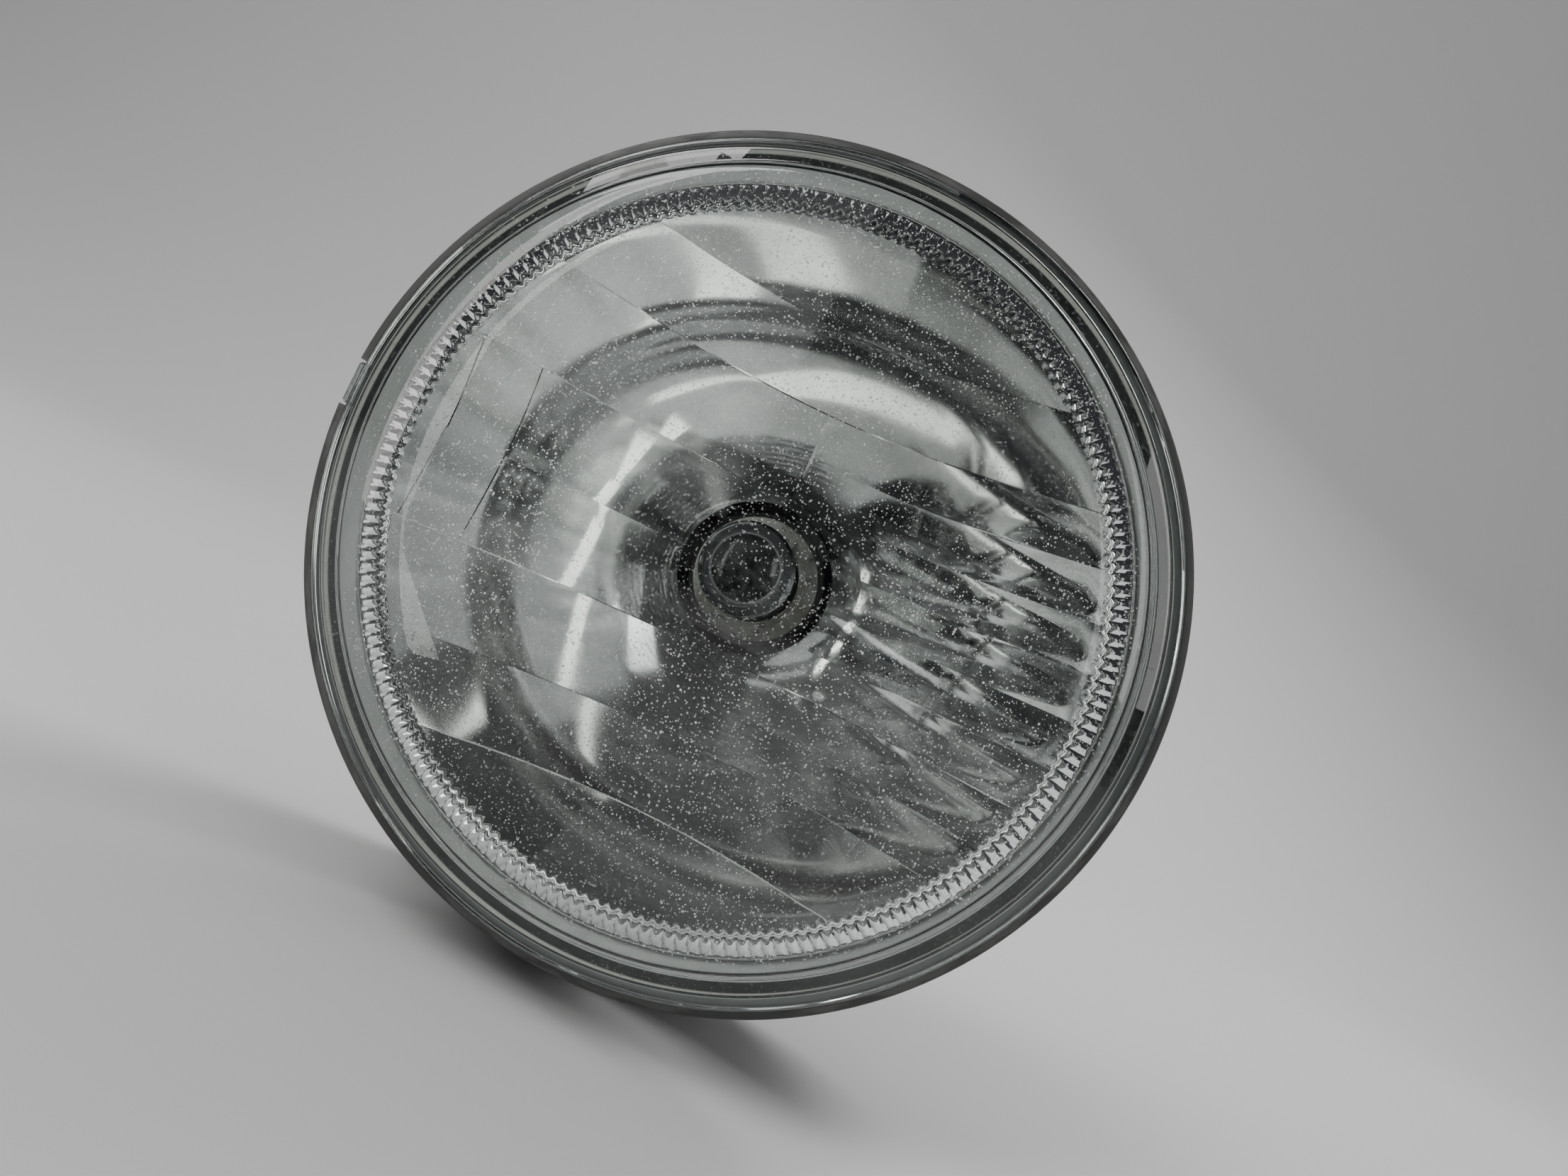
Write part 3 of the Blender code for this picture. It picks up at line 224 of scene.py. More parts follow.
def make_cards():
    """What the bowl shows: two standing tubes, bars on the floor, pale windows, and black flags."""
    foot_height, bar_height, flag_height = 2 * MM, 3 * MM, 1 * MM
    for name, foot, top, height, width, brightness, foot_end, foot_width, foot_brightness in (
        ("tube_right", (57, 0.42), (70, 0.42), 0.70, 0.026, 3.2, (56, 0.10), 0.010, 3.0),
        ("tube_left", (-39, 0.40), (-39, 0.40), 0.36, 0.034, 5.0, (-38, 0.12), 0.014, 4.5),
    ):
        bar_card(name, ahead_of_lamp(*foot), ahead_of_lamp(*top, height), width, brightness)
        strip = (ahead_of_lamp(*foot, foot_height), ahead_of_lamp(*foot_end, foot_height))
        bar_card(f"{name}_foot", *strip, foot_width, foot_brightness, glossy=False)
    low_bar = (Vector((0.095, -0.080, bar_height)), Vector((-0.035, -0.039, bar_height)))
    bar_card("low_bar", *low_bar, 0.004, 2.6, glossy=False)
    for name, bearing, distance, low, high, width, brightness in (
        ("window_right", 68, 0.60, 0.02, 0.62, 0.50, 0.50),
        ("window_left", -58, 0.62, 0.12, 0.52, 0.34, 0.14),
        ("window_ahead", -20, 0.50, 0.10, 0.50, 0.22, 0.55),
    ):
        ends = [ahead_of_lamp(bearing, distance, height) for height in (low, high)]
        bar_card(name, *ends, width, brightness, WINDOW_COLOUR)
    for name, low, high in (
        ("flag_ahead", (-0.15, -0.60), (0.13, -0.100)),
        ("flag_left", (-0.14, -0.100), (-0.012, -0.052)),
    ):
        corners = [(low[0], low[1]), (high[0], low[1]), (high[0], high[1]), (low[0], high[1])]
        card(name, [(x, y, flag_height) for x, y in corners], 0.0, glossy=False)


def make_world():
    """A pale surround for what the camera sees, and a dimmer room for reflections and shading."""
    world = bpy.data.worlds.new("studio")
    world.use_nodes = True
    tree = world.node_tree
    background = tree.nodes["Background"]
    rays = tree.nodes.new("ShaderNodeLightPath")
    mix = tree.nodes.new("ShaderNodeMix")
    mix.data_type = "RGBA"
    mix.inputs["A"].default_value = (0.03, 0.031, 0.034, 1.0)
    mix.inputs["B"].default_value = (PALE_TONE, PALE_TONE, PALE_TONE, 1.0)
    tree.links.new(rays.outputs["Is Camera Ray"], mix.inputs["Factor"])
    tree.links.new(mix.outputs["Result"], background.inputs["Color"])
    bpy.context.scene.world = world


def make_stage():
    """A pale floor that curves up into a wall behind."""
    half_width, front, back, height, bend, steps = 2.0, -1.6, 0.85, 1.7, 0.45, 16
    floor = -0.2 * MM
    line = [(front, floor), (back - bend, floor)]
    for step in range(1, steps + 1):
        turn = math.pi / 2 * step / steps
        line.append((back - bend + bend * math.sin(turn), floor + bend * (1 - math.cos(turn))))
    line.append((back, height))
    verts = [(side * half_width, y, z) for y, z in line for side in (-1, 1)]
    faces = [(i, i + 1, i + 3, i + 2) for i in range(0, len(verts) - 2, 2)]
    mesh = bpy.data.meshes.new("backdrop")
    mesh.from_pydata(verts, [], faces)
    mesh.shade_smooth()
    made = bpy.data.objects.new("backdrop", mesh)
    bpy.context.scene.collection.objects.link(made)
    paint = Finish("backdrop_paint", (PALE_TONE, PALE_TONE, PALE_TONE - 0.005), 0.6)
    cloud = paint.noise(3.0, detail=4.0)
    paint.feed("Roughness", paint.remap(cloud, 0.3, 0.7, 0.5, 0.7))
    mesh.materials.append(paint.material)


# Materials

# Radii of the rings on the bead behind the glass: a silvery band that is a painted reflection, a bright line
# that is a painted highlight, and a grey band of the bead's own colour
PAINTED_REFLECTION_BAND = (44.1 * MM, 46.3 * MM)
PAINTED_HIGHLIGHT_LINE = (48.2 * MM, 48.7 * MM)
GREY_BAND = (48.9 * MM, 51.2 * MM)

CLEAR_GLASS = (0.925, 0.965, 0.945)
CLEAR_QUARTZ = (0.97, 0.97, 0.97)


class Finish:
    """One material, with short calls for the nodes that shape its colour, roughness and relief."""

    def __init__(self, name, colour, roughness, metallic=0.0):
        self.material = bpy.data.materials.new(name)
        self.material.use_nodes = True
        self.tree = self.material.node_tree
        self.shader = self.tree.nodes["Principled BSDF"]
        self.set("Base Color", (*colour, 1.0))
        self.set("Roughness", roughness)
        self.set("Metallic", metallic)
        self.material.diffuse_color = (*colour, 1.0)

    def set(self, socket, value):
        self.shader.inputs[socket].default_value = value

    def feed(self, socket, source):
        self.tree.links.new(source, self.shader.inputs[socket])

    def add(self, kind, inputs, **settings):
        """A node; each input is a number, a tuple or another node's output."""
        made = self.tree.nodes.new("ShaderNode" + kind)
        for name, value in settings.items():
            setattr(made, name, value)
        for name, value in inputs.items():
            if isinstance(value, bpy.types.NodeSocket):
                self.tree.links.new(value, made.inputs[name])
            else:
                made.inputs[name].default_value = value
        return made

    def place(self, stretch=(1.0, 1.0, 1.0)):
        """The object's own coordinates, stretched."""
        coordinates = self.add("TexCoord", {})
        mapping = {"Vector": coordinates.outputs["Object"], "Scale": stretch}
        return self.add("Mapping", mapping).outputs["Vector"]

    def noise(self, scale, detail=3.0, rough=0.55, stretch=(1.0, 1.0, 1.0)):
        inputs = {"Vector": self.place(stretch), "Scale": scale, "Detail": detail, "Roughness": rough}
        return self.add("TexNoise", inputs).outputs["Fac"]

    def cells(self, scale, randomness=1.0):
        """The distance to a cell's middle, and a random value for each cell."""
        made = self.add("TexVoronoi", {"Vector": self.place(), "Scale": scale, "Randomness": randomness})
        parts = self.add("SeparateColor", {"Color": made.outputs["Color"]})
        return made.outputs["Distance"], parts.outputs["Red"]

    def remap(self, value, low, high, start=0.0, end=1.0):
        inputs = {"Value": value, "From Min": low, "From Max": high, "To Min": start, "To Max": end}
        return self.add("MapRange", inputs).outputs["Result"]

    def math(self, operation, first, second=0.0):
        made = self.add("Math", {}, operation=operation)
        for socket, value in zip(made.inputs, (first, second)):
            if isinstance(value, bpy.types.NodeSocket):
                self.tree.links.new(value, socket)
            else:
                socket.default_value = value
        return made.outputs["Value"]

    def mix(self, factor, first, second):
        """A colour between the first and the second."""
        made = self.add("Mix", {}, data_type="RGBA")
        for socket, value in zip(("Factor", "A", "B"), (factor, first, second)):
            found = next(s for s in made.inputs if s.name == socket and s.enabled)
            if isinstance(value, bpy.types.NodeSocket):
                self.tree.links.new(value, found)
            else:
                found.default_value = (*value, 1.0)
        return next(s for s in made.outputs if s.enabled)

    def radius(self):
        """The distance from the optical axis, with the object's own coordinates."""
        parts = self.add("SeparateXYZ", {"Vector": self.place()}).outputs
        height = self.math("SUBTRACT", parts["Z"], AXIS_Z)
        squares = [self.math("POWER", side, 2.0) for side in (parts["X"], height)]
        return self.math("SQRT", self.math("ADD", *squares))

    def band(self, value, limits, soft=0.1 * MM):
        """1 between the two limits, with soft edges."""
        rise = self.remap(value, limits[0] - soft, limits[0] + soft)
        fall = self.remap(value, limits[1] - soft, limits[1] + soft, 1.0, 0.0)
        return self.math("MULTIPLY", rise, fall)

    def attribute(self, name):
        return self.add("Attribute", {}, attribute_name=name).outputs["Fac"]

    def relief(self, height, depth, strength=1.0):
        inputs = {"Height": height, "Distance": depth, "Strength": strength}
        self.feed("Normal", self.add("Bump", inputs).outputs["Normal"])


def chips(finish, scale, share, softness=0.05):
    """Round specks of random size: 1 inside a speck."""
    distance, chance = finish.cells(scale)
    reach = finish.math("MULTIPLY", finish.math("POWER", chance, 3.0), share)
    return finish.remap(finish.math("SUBTRACT", reach, distance), 0.0, softness)


def make_lens_finish():
    """Clear pressed glass, its outside peppered with stone chips and fine road wear."""
    glass = Finish("pitted_glass", CLEAR_GLASS, 0.0)
    glass.set("IOR", 1.51)
    patches = glass.remap(glass.noise(45.0), 0.36, 0.64, 0.35, 1.0)
    specks = glass.math("MAXIMUM", chips(glass, 2300.0, 0.38), chips(glass, 4200.0, 0.50))
    specks = glass.math("MAXIMUM", specks, chips(glass, 1000.0, 0.19))
    specks = glass.math("MULTIPLY", glass.math("MULTIPLY", specks, patches), glass.attribute("outside"))
    glass.feed("Transmission Weight", glass.remap(specks, 0.0, 1.0, 1.0, 0.55))
    glass.feed("Roughness", glass.remap(specks, 0.0, 1.0, 0.0, 0.5))
    glass.feed("Base Color", glass.mix(specks, CLEAR_GLASS, (0.95, 0.95, 0.93)))
    glass.relief(glass.math("SUBTRACT", 1.0, specks), 0.04 * MM, 0.6)
    return glass.material


def make_mirror_finish():
    """Vacuum-metallised plastic: a bright mirror with a faint ripple, haze and dust."""
    mirror = Finish("metallised_coating", (0.86, 0.86, 0.85), 0.06, 1.0)
    haze = mirror.noise(55.0, 5.0)
    mirror.feed("Roughness", mirror.remap(haze, 0.35, 0.75, 0.035, 0.10))
    dull = mirror.remap(mirror.noise(140.0, 6.0, 0.7), 0.45, 0.8)
    mirror.feed("Base Color", mirror.mix(dull, (0.87, 0.87, 0.86), (0.68, 0.68, 0.66)))
    mirror.relief(mirror.noise(120.0, 1.0, stretch=(0.6, 1.0, 1.6)), 0.01 * MM, 0.3)
    return mirror.material


def make_quartz_finish():
    """Clear quartz, with a dark coat over the capsule's tip."""
    quartz = Finish("quartz", CLEAR_QUARTZ, 0.0)
    quartz.set("IOR", 1.46)
    coat = quartz.attribute("coat")
    quartz.feed("Transmission Weight", quartz.math("SUBTRACT", 1.0, coat))
    quartz.feed("Roughness", quartz.remap(coat, 0.0, 1.0, 0.01, 0.14))
    smoke = quartz.remap(quartz.noise(900.0, 3.0), 0.3, 0.7, 0.02, 0.10)
    tone = quartz.add("CombineColor", {"Red": smoke, "Green": smoke, "Blue": smoke}).outputs["Color"]
    quartz.feed("Base Color", quartz.mix(coat, CLEAR_QUARTZ, tone))
    return quartz.material


def make_plastic(name, dark, pale, grain=2200.0, roughness=0.45):
    """Moulded plastic with a fine sparked grain, dusty patches and worn edges."""
    plastic = Finish(name, dark, roughness)
    dust = plastic.remap(plastic.noise(45.0, 8.0, 0.65), 0.42, 0.72)
    worn = plastic.add("NewGeometry", {}).outputs["Pointiness"]
    worn = plastic.remap(worn, 0.52, 0.60, 0.0, 0.6)
    shade = plastic.mix(plastic.math("MAXIMUM", plastic.math("MULTIPLY", dust, 0.5), worn), dark, pale)
    plastic.feed("Base Color", shade)
    plastic.feed("Roughness", plastic.remap(dust, 0.0, 1.0, roughness - 0.08, roughness + 0.2))
    plastic.set("Specular IOR Level", 0.45)
    plastic.relief(plastic.noise(grain, 2.0), 0.05 * MM, 0.5)
    return plastic.material


def make_rubber():
    rubber = Finish("moulded_rubber", (0.02, 0.02, 0.02), 0.7)
    bloom = rubber.remap(rubber.noise(160.0, 5.0), 0.4, 0.75)
    rubber.feed("Base Color", rubber.mix(bloom, (0.018, 0.018, 0.018), (0.075, 0.075, 0.072)))
    rubber.feed("Roughness", rubber.remap(bloom, 0.0, 1.0, 0.55, 0.85))
    rubber.relief(rubber.noise(1500.0, 2.0), 0.04 * MM, 0.4)
    return rubber.material


def make_sealant_finish():
    """Bedding compound behind the glass: dark, with a silvery inner band that is a painted reflection with a
    little metal, a thin bright line that is a painted highlight, and a grey outer band.
    """
    sealant = Finish("bedding_sealant", (0.05, 0.052, 0.05), 0.5)
    streak = sealant.remap(sealant.noise(210.0, 5.0), 0.35, 0.7)
    radius = sealant.radius()
    # painted reflection: a silvery band with a little metal; painted highlight: a thin warm bright line
    painted_reflection = sealant.band(radius, PAINTED_REFLECTION_BAND)
    line = sealant.band(radius, PAINTED_HIGHLIGHT_LINE)
    pale = sealant.band(radius, GREY_BAND)
    shade = sealant.mix(streak, (0.022, 0.024, 0.023), (0.05, 0.054, 0.052))
    shade = sealant.mix(pale, shade, (0.34, 0.35, 0.345))
    # the painted highlight's near-white colour
    shade = sealant.mix(line, shade, (0.90, 0.87, 0.82))
    # the painted reflection, silvery and a little metallic
    sealant.feed("Base Color", sealant.mix(painted_reflection, shade, (0.90, 0.90, 0.89)))
    sealant.feed("Metallic", sealant.math("MULTIPLY", painted_reflection, 0.25))
    sealant.feed("Roughness", sealant.remap(streak, 0.0, 1.0, 0.32, 0.6))
    sealant.relief(sealant.noise(420.0, 3.0), 0.06 * MM, 0.5)
    return sealant.material


def make_metal(name, colour, tarnish, roughness, scale=700.0):
    """Plated or drawn metal with fine drawing marks and tarnished patches."""
    metal = Finish(name, colour, roughness, 1.0)
    patch = metal.remap(metal.noise(260.0, 6.0, 0.7), 0.42, 0.75)
    metal.feed("Base Color", metal.mix(patch, colour, tarnish))
    marks = metal.noise(scale, 2.0, stretch=(1.0, 12.0, 1.0))
    metal.feed("Roughness", metal.remap(marks, 0.3, 0.7, roughness - 0.08, roughness + 0.12))
    metal.relief(marks, 0.015 * MM, 0.4)
    return metal.material


def make_nylon():
    nylon = Finish("natural_nylon", (0.74, 0.72, 0.64), 0.42)
    cloud = nylon.remap(nylon.noise(240.0, 4.0), 0.35, 0.7)
    nylon.feed("Base Color", nylon.mix(cloud, (0.78, 0.76, 0.69), (0.62, 0.58, 0.48)))
    nylon.set("Subsurface Weight", 0.15)
    nylon.set("Subsurface Scale", 0.001)
    nylon.relief(nylon.noise(1300.0, 2.0), 0.03 * MM, 0.35)
    return nylon.material


def make_finishes():
    """Every material, by the name of the slot that it fills."""
    return {
        "glass": make_lens_finish(),
        "reflector_coating": make_mirror_finish(),
        "bulb_glass": make_quartz_finish(),
        "black_plastic": make_plastic("black_plastic", (0.022, 0.022, 0.021), (0.11, 0.11, 0.105)),
        "base_plastic": make_plastic(
            "grey_plastic", (0.075, 0.075, 0.075), (0.21, 0.21, 0.20), roughness=0.5
        ),
        "rubber": make_rubber(),
        "sealant": make_sealant_finish(),
        "steel": make_metal("zinc_plated_steel", (0.60, 0.59, 0.55), (0.36, 0.33, 0.27), 0.30),
        "nylon": make_nylon(),
        "tungsten": make_metal("tungsten_wire", (0.38, 0.38, 0.40), (0.22, 0.22, 0.25), 0.35, 2500.0),
        "tinned_brass": make_metal("tinned_brass", (0.74, 0.71, 0.64), (0.55, 0.47, 0.34), 0.28, 1400.0),
    }


# Mesh helpers


def softened(profile, reach, steps=3):
    """The closed profile with its corners rounded off; a corner on the axis stays."""
    rounded = []
    for index, point in enumerate(profile):
        corner = Vector(point)
        before = Vector(profile[index - 1]) - corner
        after = Vector(profile[(index + 1) % len(profile)]) - corner
        straight = before.length * after.length and before.angle(after) > math.radians(160)
        if corner.x < 1e-6 or straight:
            rounded.append(tuple(corner))
            continue
        start = corner + before.normalized() * min(reach, 0.45 * before.length)
        end = corner + after.normalized() * min(reach, 0.45 * after.length)
        for step in range(steps + 1):
            t = step / steps
            rounded.append(tuple((1 - t) ** 2 * start + 2 * t * (1 - t) * corner + t**2 * end))
    return rounded


def to_object(name, verts, faces, sharp=35):
    """A smooth-shaded object whose faces all point outwards."""
    mesh = bpy.data.meshes.new(name)
    mesh.from_pydata([tuple(v) for v in verts], [], faces)
    shape = bmesh.new()
    shape.from_mesh(mesh)
    bmesh.ops.remove_doubles(shape, verts=shape.verts, dist=1e-7)
    bmesh.ops.dissolve_degenerate(shape, edges=shape.edges, dist=1e-7)
    bmesh.ops.recalc_face_normals(shape, faces=shape.faces)
    shape.to_mesh(mesh)
    shape.free()
    return from_mesh(name, mesh, sharp)


def from_mesh(name, mesh, sharp):
    mesh.shade_smooth()
    mesh.set_sharp_from_angle(angle=math.radians(sharp))
    mesh.materials.clear()
    made = bpy.data.objects.new(name, mesh)
    bpy.context.scene.collection.objects.link(made)
    return made


AXES = {
    "X": Matrix.Rotation(-math.pi / 2, 3, "Z"),
    "Y": Matrix.Identity(3),
    "Z": Matrix.Rotation(math.pi / 2, 3, "X"),
}


def ring_mesh(profile, segments, centre, along="Y", shaped=None):
    """Points and faces of the closed profile turned about the axis.

    shaped(radius, distance, turns) may shift a ring's points along the axis round the turn.
    """
    turns = np.linspace(0.0, math.tau, segments, endpoint=False)
    verts, rings = [], []
    for radius, distance in profile:
        if radius < 1e-7:
            rings.append([len(verts)] * segments)
            verts.append((0.0, distance, 0.0))
            continue
        shift = shaped(radius, distance, turns) if shaped else 0.0
        distances = np.full(segments, distance) + shift
        rings.append(list(range(len(verts), len(verts) + segments)))
        verts += list(zip(radius * np.cos(turns), distances, radius * np.sin(turns)))
    faces = []
    for one, two in zip(rings, rings[1:] + rings[:1]):
        if len(set(one)) == 1 and len(set(two)) == 1:
            continue
        for k in range(segments):
            corners = [one[k], one[(k + 1) % segments], two[(k + 1) % segments], two[k]]
            faces.append(tuple(dict.fromkeys(corners)))
    places = np.array(verts) @ np.array(AXES[along]).T + np.array(centre)
    return places, faces


def turned(name, profile, segments, centre, along="Y", shaped=None, sharp=35):
    verts, faces = ring_mesh(profile, segments, centre, along, shaped)
    return to_object(name, verts, faces, sharp)


def rod_profile(radius, start, end, inner=0.0):
    return [(inner, start), (radius, start), (radius, end), (inner, end)]


def rod(radius, start, end, centre, along="Y", edge=0.0, segments=64, inner=0.0):
    """A helper rod or tube with rounded ends, for joining or cutting."""
    profile = softened(rod_profile(radius, *sorted((start, end)), inner), edge or 1e-6)
    return turned("helper", profile, segments, centre, along)


def prism(outline, start, end, along="Y", edge=0.0):
    """A helper prism: the outline lies in the other two axes' plane, and its rims get a small bevel."""
    order = {"X": (2, 0, 1), "Y": (0, 2, 1), "Z": (0, 1, 2)}[along]
    rows = [start, end]
    middle = Vector((sum(p[0] for p in outline) / len(outline), sum(p[1] for p in outline) / len(outline)))
    scales = [0.0, 0.0]
    if edge:
        rows = [start, start + edge, end - edge, end]
        scales = [edge, 0.0, 0.0, edge]
    verts, faces, count = [], [], len(outline)
    for distance, inset in zip(rows, scales):
        for point in outline:
            towards = middle - Vector(point)
            moved = Vector(point) + towards.normalized() * inset
            flat = (moved.x, moved.y, distance)
            verts.append([flat[k] for k in order])
    for row in range(len(rows) - 1):
        for k in range(count):
            low, high = row * count, (row + 1) * count
            faces.append((low + k, low + (k + 1) % count, high + (k + 1) % count, high + k))
    faces.append(tuple(range(count)))
    faces.append(tuple(range((len(rows) - 1) * count, len(rows) * count)))
    return to_object("helper", verts, faces)


def arc(centre, radius, start, end, steps):
    """Points along an arc, angles in degrees."""
    turns = [math.radians(start + (end - start) * i / steps) for i in range(steps + 1)]
    return [(centre[0] + radius * math.cos(t), centre[1] + radius * math.sin(t)) for t in turns]


def rounded_rectangle(centre, width, height, radius, steps=6):
    outline = []
    for quarter, (side, top) in enumerate(((1, 1), (-1, 1), (-1, -1), (1, -1))):
        corner = (centre[0] + side * (width / 2 - radius), centre[1] + top * (height / 2 - radius))
        outline += arc(corner, radius, 90 * quarter, 90 * quarter + 90, steps)
    return outline


def block(low, high, edge=0.0):
    middle = ((low[0] + high[0]) / 2, (low[1] + high[1]) / 2)
    size = (high[0] - low[0], high[1] - low[1])
    outline = rounded_rectangle(middle, *size, max(edge, 0.02 * MM), 3)
    return prism(outline, low[2], high[2], "Z", edge)


def assembled(name, base, joined, cutters, sharp=30):
    """The base with shapes joined to it and then cut from it, as one mesh."""
    for operation, helpers in (("UNION", joined), ("DIFFERENCE", cutters)):
        for helper in helpers:
            made = base.modifiers.new(operation, "BOOLEAN")
            made.operation = operation
            made.solver = "MANIFOLD"
            made.object = helper
    bpy.context.view_layer.update()
    graph = bpy.context.evaluated_depsgraph_get()
    mesh = bpy.data.meshes.new_from_object(base.evaluated_get(graph))
    mesh.name = name
    for helper in [base, *joined, *cutters]:
        bpy.data.objects.remove(helper)
    return from_mesh(name, mesh, sharp)


FINISHES = make_finishes()


def stand_for(made, slot, *nodes):
    """Puts the piece in its CAD nodes' place, on their body, in its slot's finish."""
    made.data.materials.append(FINISHES[slot])
    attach(made, frame["nodes"][nodes[0]]["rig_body"])
    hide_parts(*nodes)


# The lens, its bead and the reflector


def dome(radius, edge_depth, centre_depth, steps):
    """Profile points of a shallow dome, from its edge to the axis."""
    rise = edge_depth - centre_depth
    sphere = (radius**2 + rise**2) / (2 * rise)
    points = []
    for i in range(steps + 1):
        r = radius * (1 - i / steps)
        points.append((r, centre_depth + sphere - math.sqrt(sphere**2 - r**2)))
    return points


def make_lens():
    """Pressed glass: a flange, a stepped wall, a rounded shoulder and a dome.

    Flutes run round the inside of the shoulder.
    """
    outside = [
        (SKIRT_RADIUS, 0.0),
        (LENS_RADIUS, 0.0),
        (LENS_RADIUS, -FLANGE_THICKNESS),
        (WALL_FOOT, -FLANGE_THICKNESS),
        (STEP_RADIUS, STEP_FRONT),
        (SHOULDER_START, STEP_FRONT - 0.4 * MM),
        (SHOULDER_START - 0.2 * MM, SHOULDER_FRONT + 1.2 * MM),
        (SHOULDER_START - 1.1 * MM, SHOULDER_FRONT + 0.3 * MM),
    ]
    face = dome(FACE_RADIUS, SHOULDER_FRONT, LENS_FRONT, 26)
    flute_start, flute_end = FACE_RADIUS - 3.0 * MM, SKIRT_RADIUS - 0.5 * MM
    hollow = dome(flute_start - 0.4 * MM, SHOULDER_FRONT + GLASS, LENS_FRONT + GLASS, 22)
    flutes = []
    for share in np.linspace(0.0, 1.0, 13):
        radius = flute_start + share * (flute_end - flute_start)
        flutes.append((radius, SHOULDER_FRONT + GLASS + 0.1 * MM + share**1.6 * 2.1 * MM))
    skirt = [(SKIRT_RADIUS - 0.2 * MM, flutes[-1][1] + 0.9 * MM)]
    profile = softened(outside + face + hollow[::-1] + flutes + skirt, 0.55 * MM, 5)

    def fluted(radius, depth, turns):
        place = (radius - flute_start) / (flute_end - flute_start)
        if not 0.0 <= place <= 1.0 or depth < SHOULDER_FRONT + 0.8 * GLASS:
            return 0.0
        weight = min(1.0, 6 * place, 6 * (1 - place) + 0.35)
        return -FLUTE_DEPTH * weight * (np.abs(np.sin(turns * FLUTES / 2)) - 0.64)

    lens = turned("lens_cover", profile, FLUTES * 5, lamp(), shaped=fluted, sharp=50)
    mark_places(lens, "outside", outside_of_lens)
    stand_for(lens, "glass", "lens")
    tab_low = lamp(LENS_LOW.x, -2.0 * MM, -TAB_HALF)
    tab_high = lamp(-LENS_RADIUS + 0.9 * MM, -0.4 * MM, TAB_HALF)
    tab = block(tab_low, tab_high, 0.25 * MM)
    tab.name = "lens_tab"
    tab.data.materials.append(FINISHES["glass"])
    mark_places(tab, "outside", lambda place: 0.5)
    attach(tab, "lamp")


def outside_of_lens(place):
    """1 on the lens's outer surface, 0 inside it."""
    radius = math.hypot(place.x, place.z - AXIS_Z)
    depth = place.y - FLANGE_Y
    if radius > SHOULDER_START - 0.3 * MM:
        return 0.25 if depth < STEP_FRONT + 0.5 * MM else 0.0
    return 1.0 if depth < SHOULDER_FRONT + 0.3 * MM else 0.0


def mark_places(made, name, rule):
    """Gives each point a value by its place, for a material to read."""
    values = made.data.attributes.new(name, "FLOAT", "POINT")
    for point, value in zip(made.data.vertices, values.data):
        value.value = rule(point.co)


def make_sealant():
    """The bead that the lens is bedded in, a little uneven."""
    low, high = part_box("lens_sealant")
    outer = high.x
    inner = SKIRT_RADIUS + 0.6 * MM
    start, end = depths(low, high)
    middle = (inner + outer) / 2
    shoulder = end - 1.0 * MM
    profile = [(inner, start), (outer, start), (outer, shoulder), (middle, end), (inner, shoulder)]
    profile = softened(profile, 0.4 * MM)
    made = turned("sealant_bead", profile, 192, lamp())
    stand_for(made, "sealant", "lens_sealant")


def paraboloid(x, height):
    return VERTEX - (x * x + height * height) / (4 * FOCAL_LENGTH)


STRIP_LIFT = 0.50 * MM
STRIP_BOW = 0.07 * MM
SIDE_FLUTE = STRIP / 2
SIDE_FLUTE_BOW = 0.42 * MM
BLOCK_STEP = 0.35 * MM
STRIP_EDGES = (-2 * STRIP - OUTER_STRIP, -2 * STRIP, -STRIP, 0.0, STRIP, 2 * STRIP, 2 * STRIP + OUTER_STRIP)
STEP_SPREAD = 0.02 * MM  # between a step's two rows, and from each to its middle
ROWS = 250
COLUMNS = 76
BLOCK_COLUMNS = (48, 1, 14, 1, 12)  # from the hole to the first step, over it, and so on to the rim


def facet_lift(x, height, side):
    """How far the facet stands ahead of the plain paraboloid, on one side of the middle."""
    edges = (-BOWL_RADIUS, *STRIP_EDGES, BOWL_RADIUS)
    strip = max(k for k in range(len(edges) - 1) if height >= edges[k] or k == 0)
    low, high = edges[strip], edges[strip + 1]
    across = 2 * (height - low) / (high - low) - 1
    reach = abs(x) / BOWL_RADIUS
    lift = STRIP_LIFT * (strip % 2) * (0.4 + 0.6 * reach)
    if side > 0 and abs(low + high) < 4 * STRIP:
        across = 2 * (height / SIDE_FLUTE % 1.0) - 1
        return lift + SIDE_FLUTE_BOW * reach**2 * (1 - across * across)
    lift += STRIP_BOW * (1 - across * across)
    if side < 0 and abs(height) < STRIP:
        lift += BLOCK_STEP * sum(x < edge for edge in BLOCK_EDGES)
    return lift


def reflector_rows():
    """Heights of the mesh's rows: finer towards the rim, and a pair of rows at each step between strips."""
    plain = [BOWL_RADIUS * math.sin(math.pi * (k / ROWS - 0.5)) for k in range(ROWS + 1)]
    flutes = [SIDE_FLUTE * k for k in range(-4, 5)]
    steps = sorted({*STRIP_EDGES, *flutes})
    pairs = [edge + side * STEP_SPREAD for edge in steps for side in (-1, 1)]
    holes = [-BULB_HOLE, BULB_HOLE]
    kept = [h for h in plain if all(abs(h - other) > 0.1 * MM for other in pairs + holes)]
    return sorted(kept + pairs + holes)


def reflector_columns(height, side):
    """Distances from the middle along one row, from the bulb hole to the rim, always as many."""
    inner = math.sqrt(max(BULB_HOLE**2 - height**2, 0.0))
    outer = math.sqrt(max(BOWL_RADIUS**2 - height**2, 0.0))
    if side > 0 or abs(height) >= STRIP:
        return inner + (outer - inner) * np.linspace(0.0, 1.0, COLUMNS)
    stops = [inner]
    for edge in sorted(-edge for edge in BLOCK_EDGES):
        stops += [edge - STEP_SPREAD, edge + STEP_SPREAD]
    stops.append(outer)
    columns = [inner]
    for start, end, count in zip(stops, stops[1:], BLOCK_COLUMNS):
        columns += list(np.linspace(start, end, count + 1)[1:])
    return np.array(columns[: COLUMNS - 1] + [outer])  # one short of the rim is left out


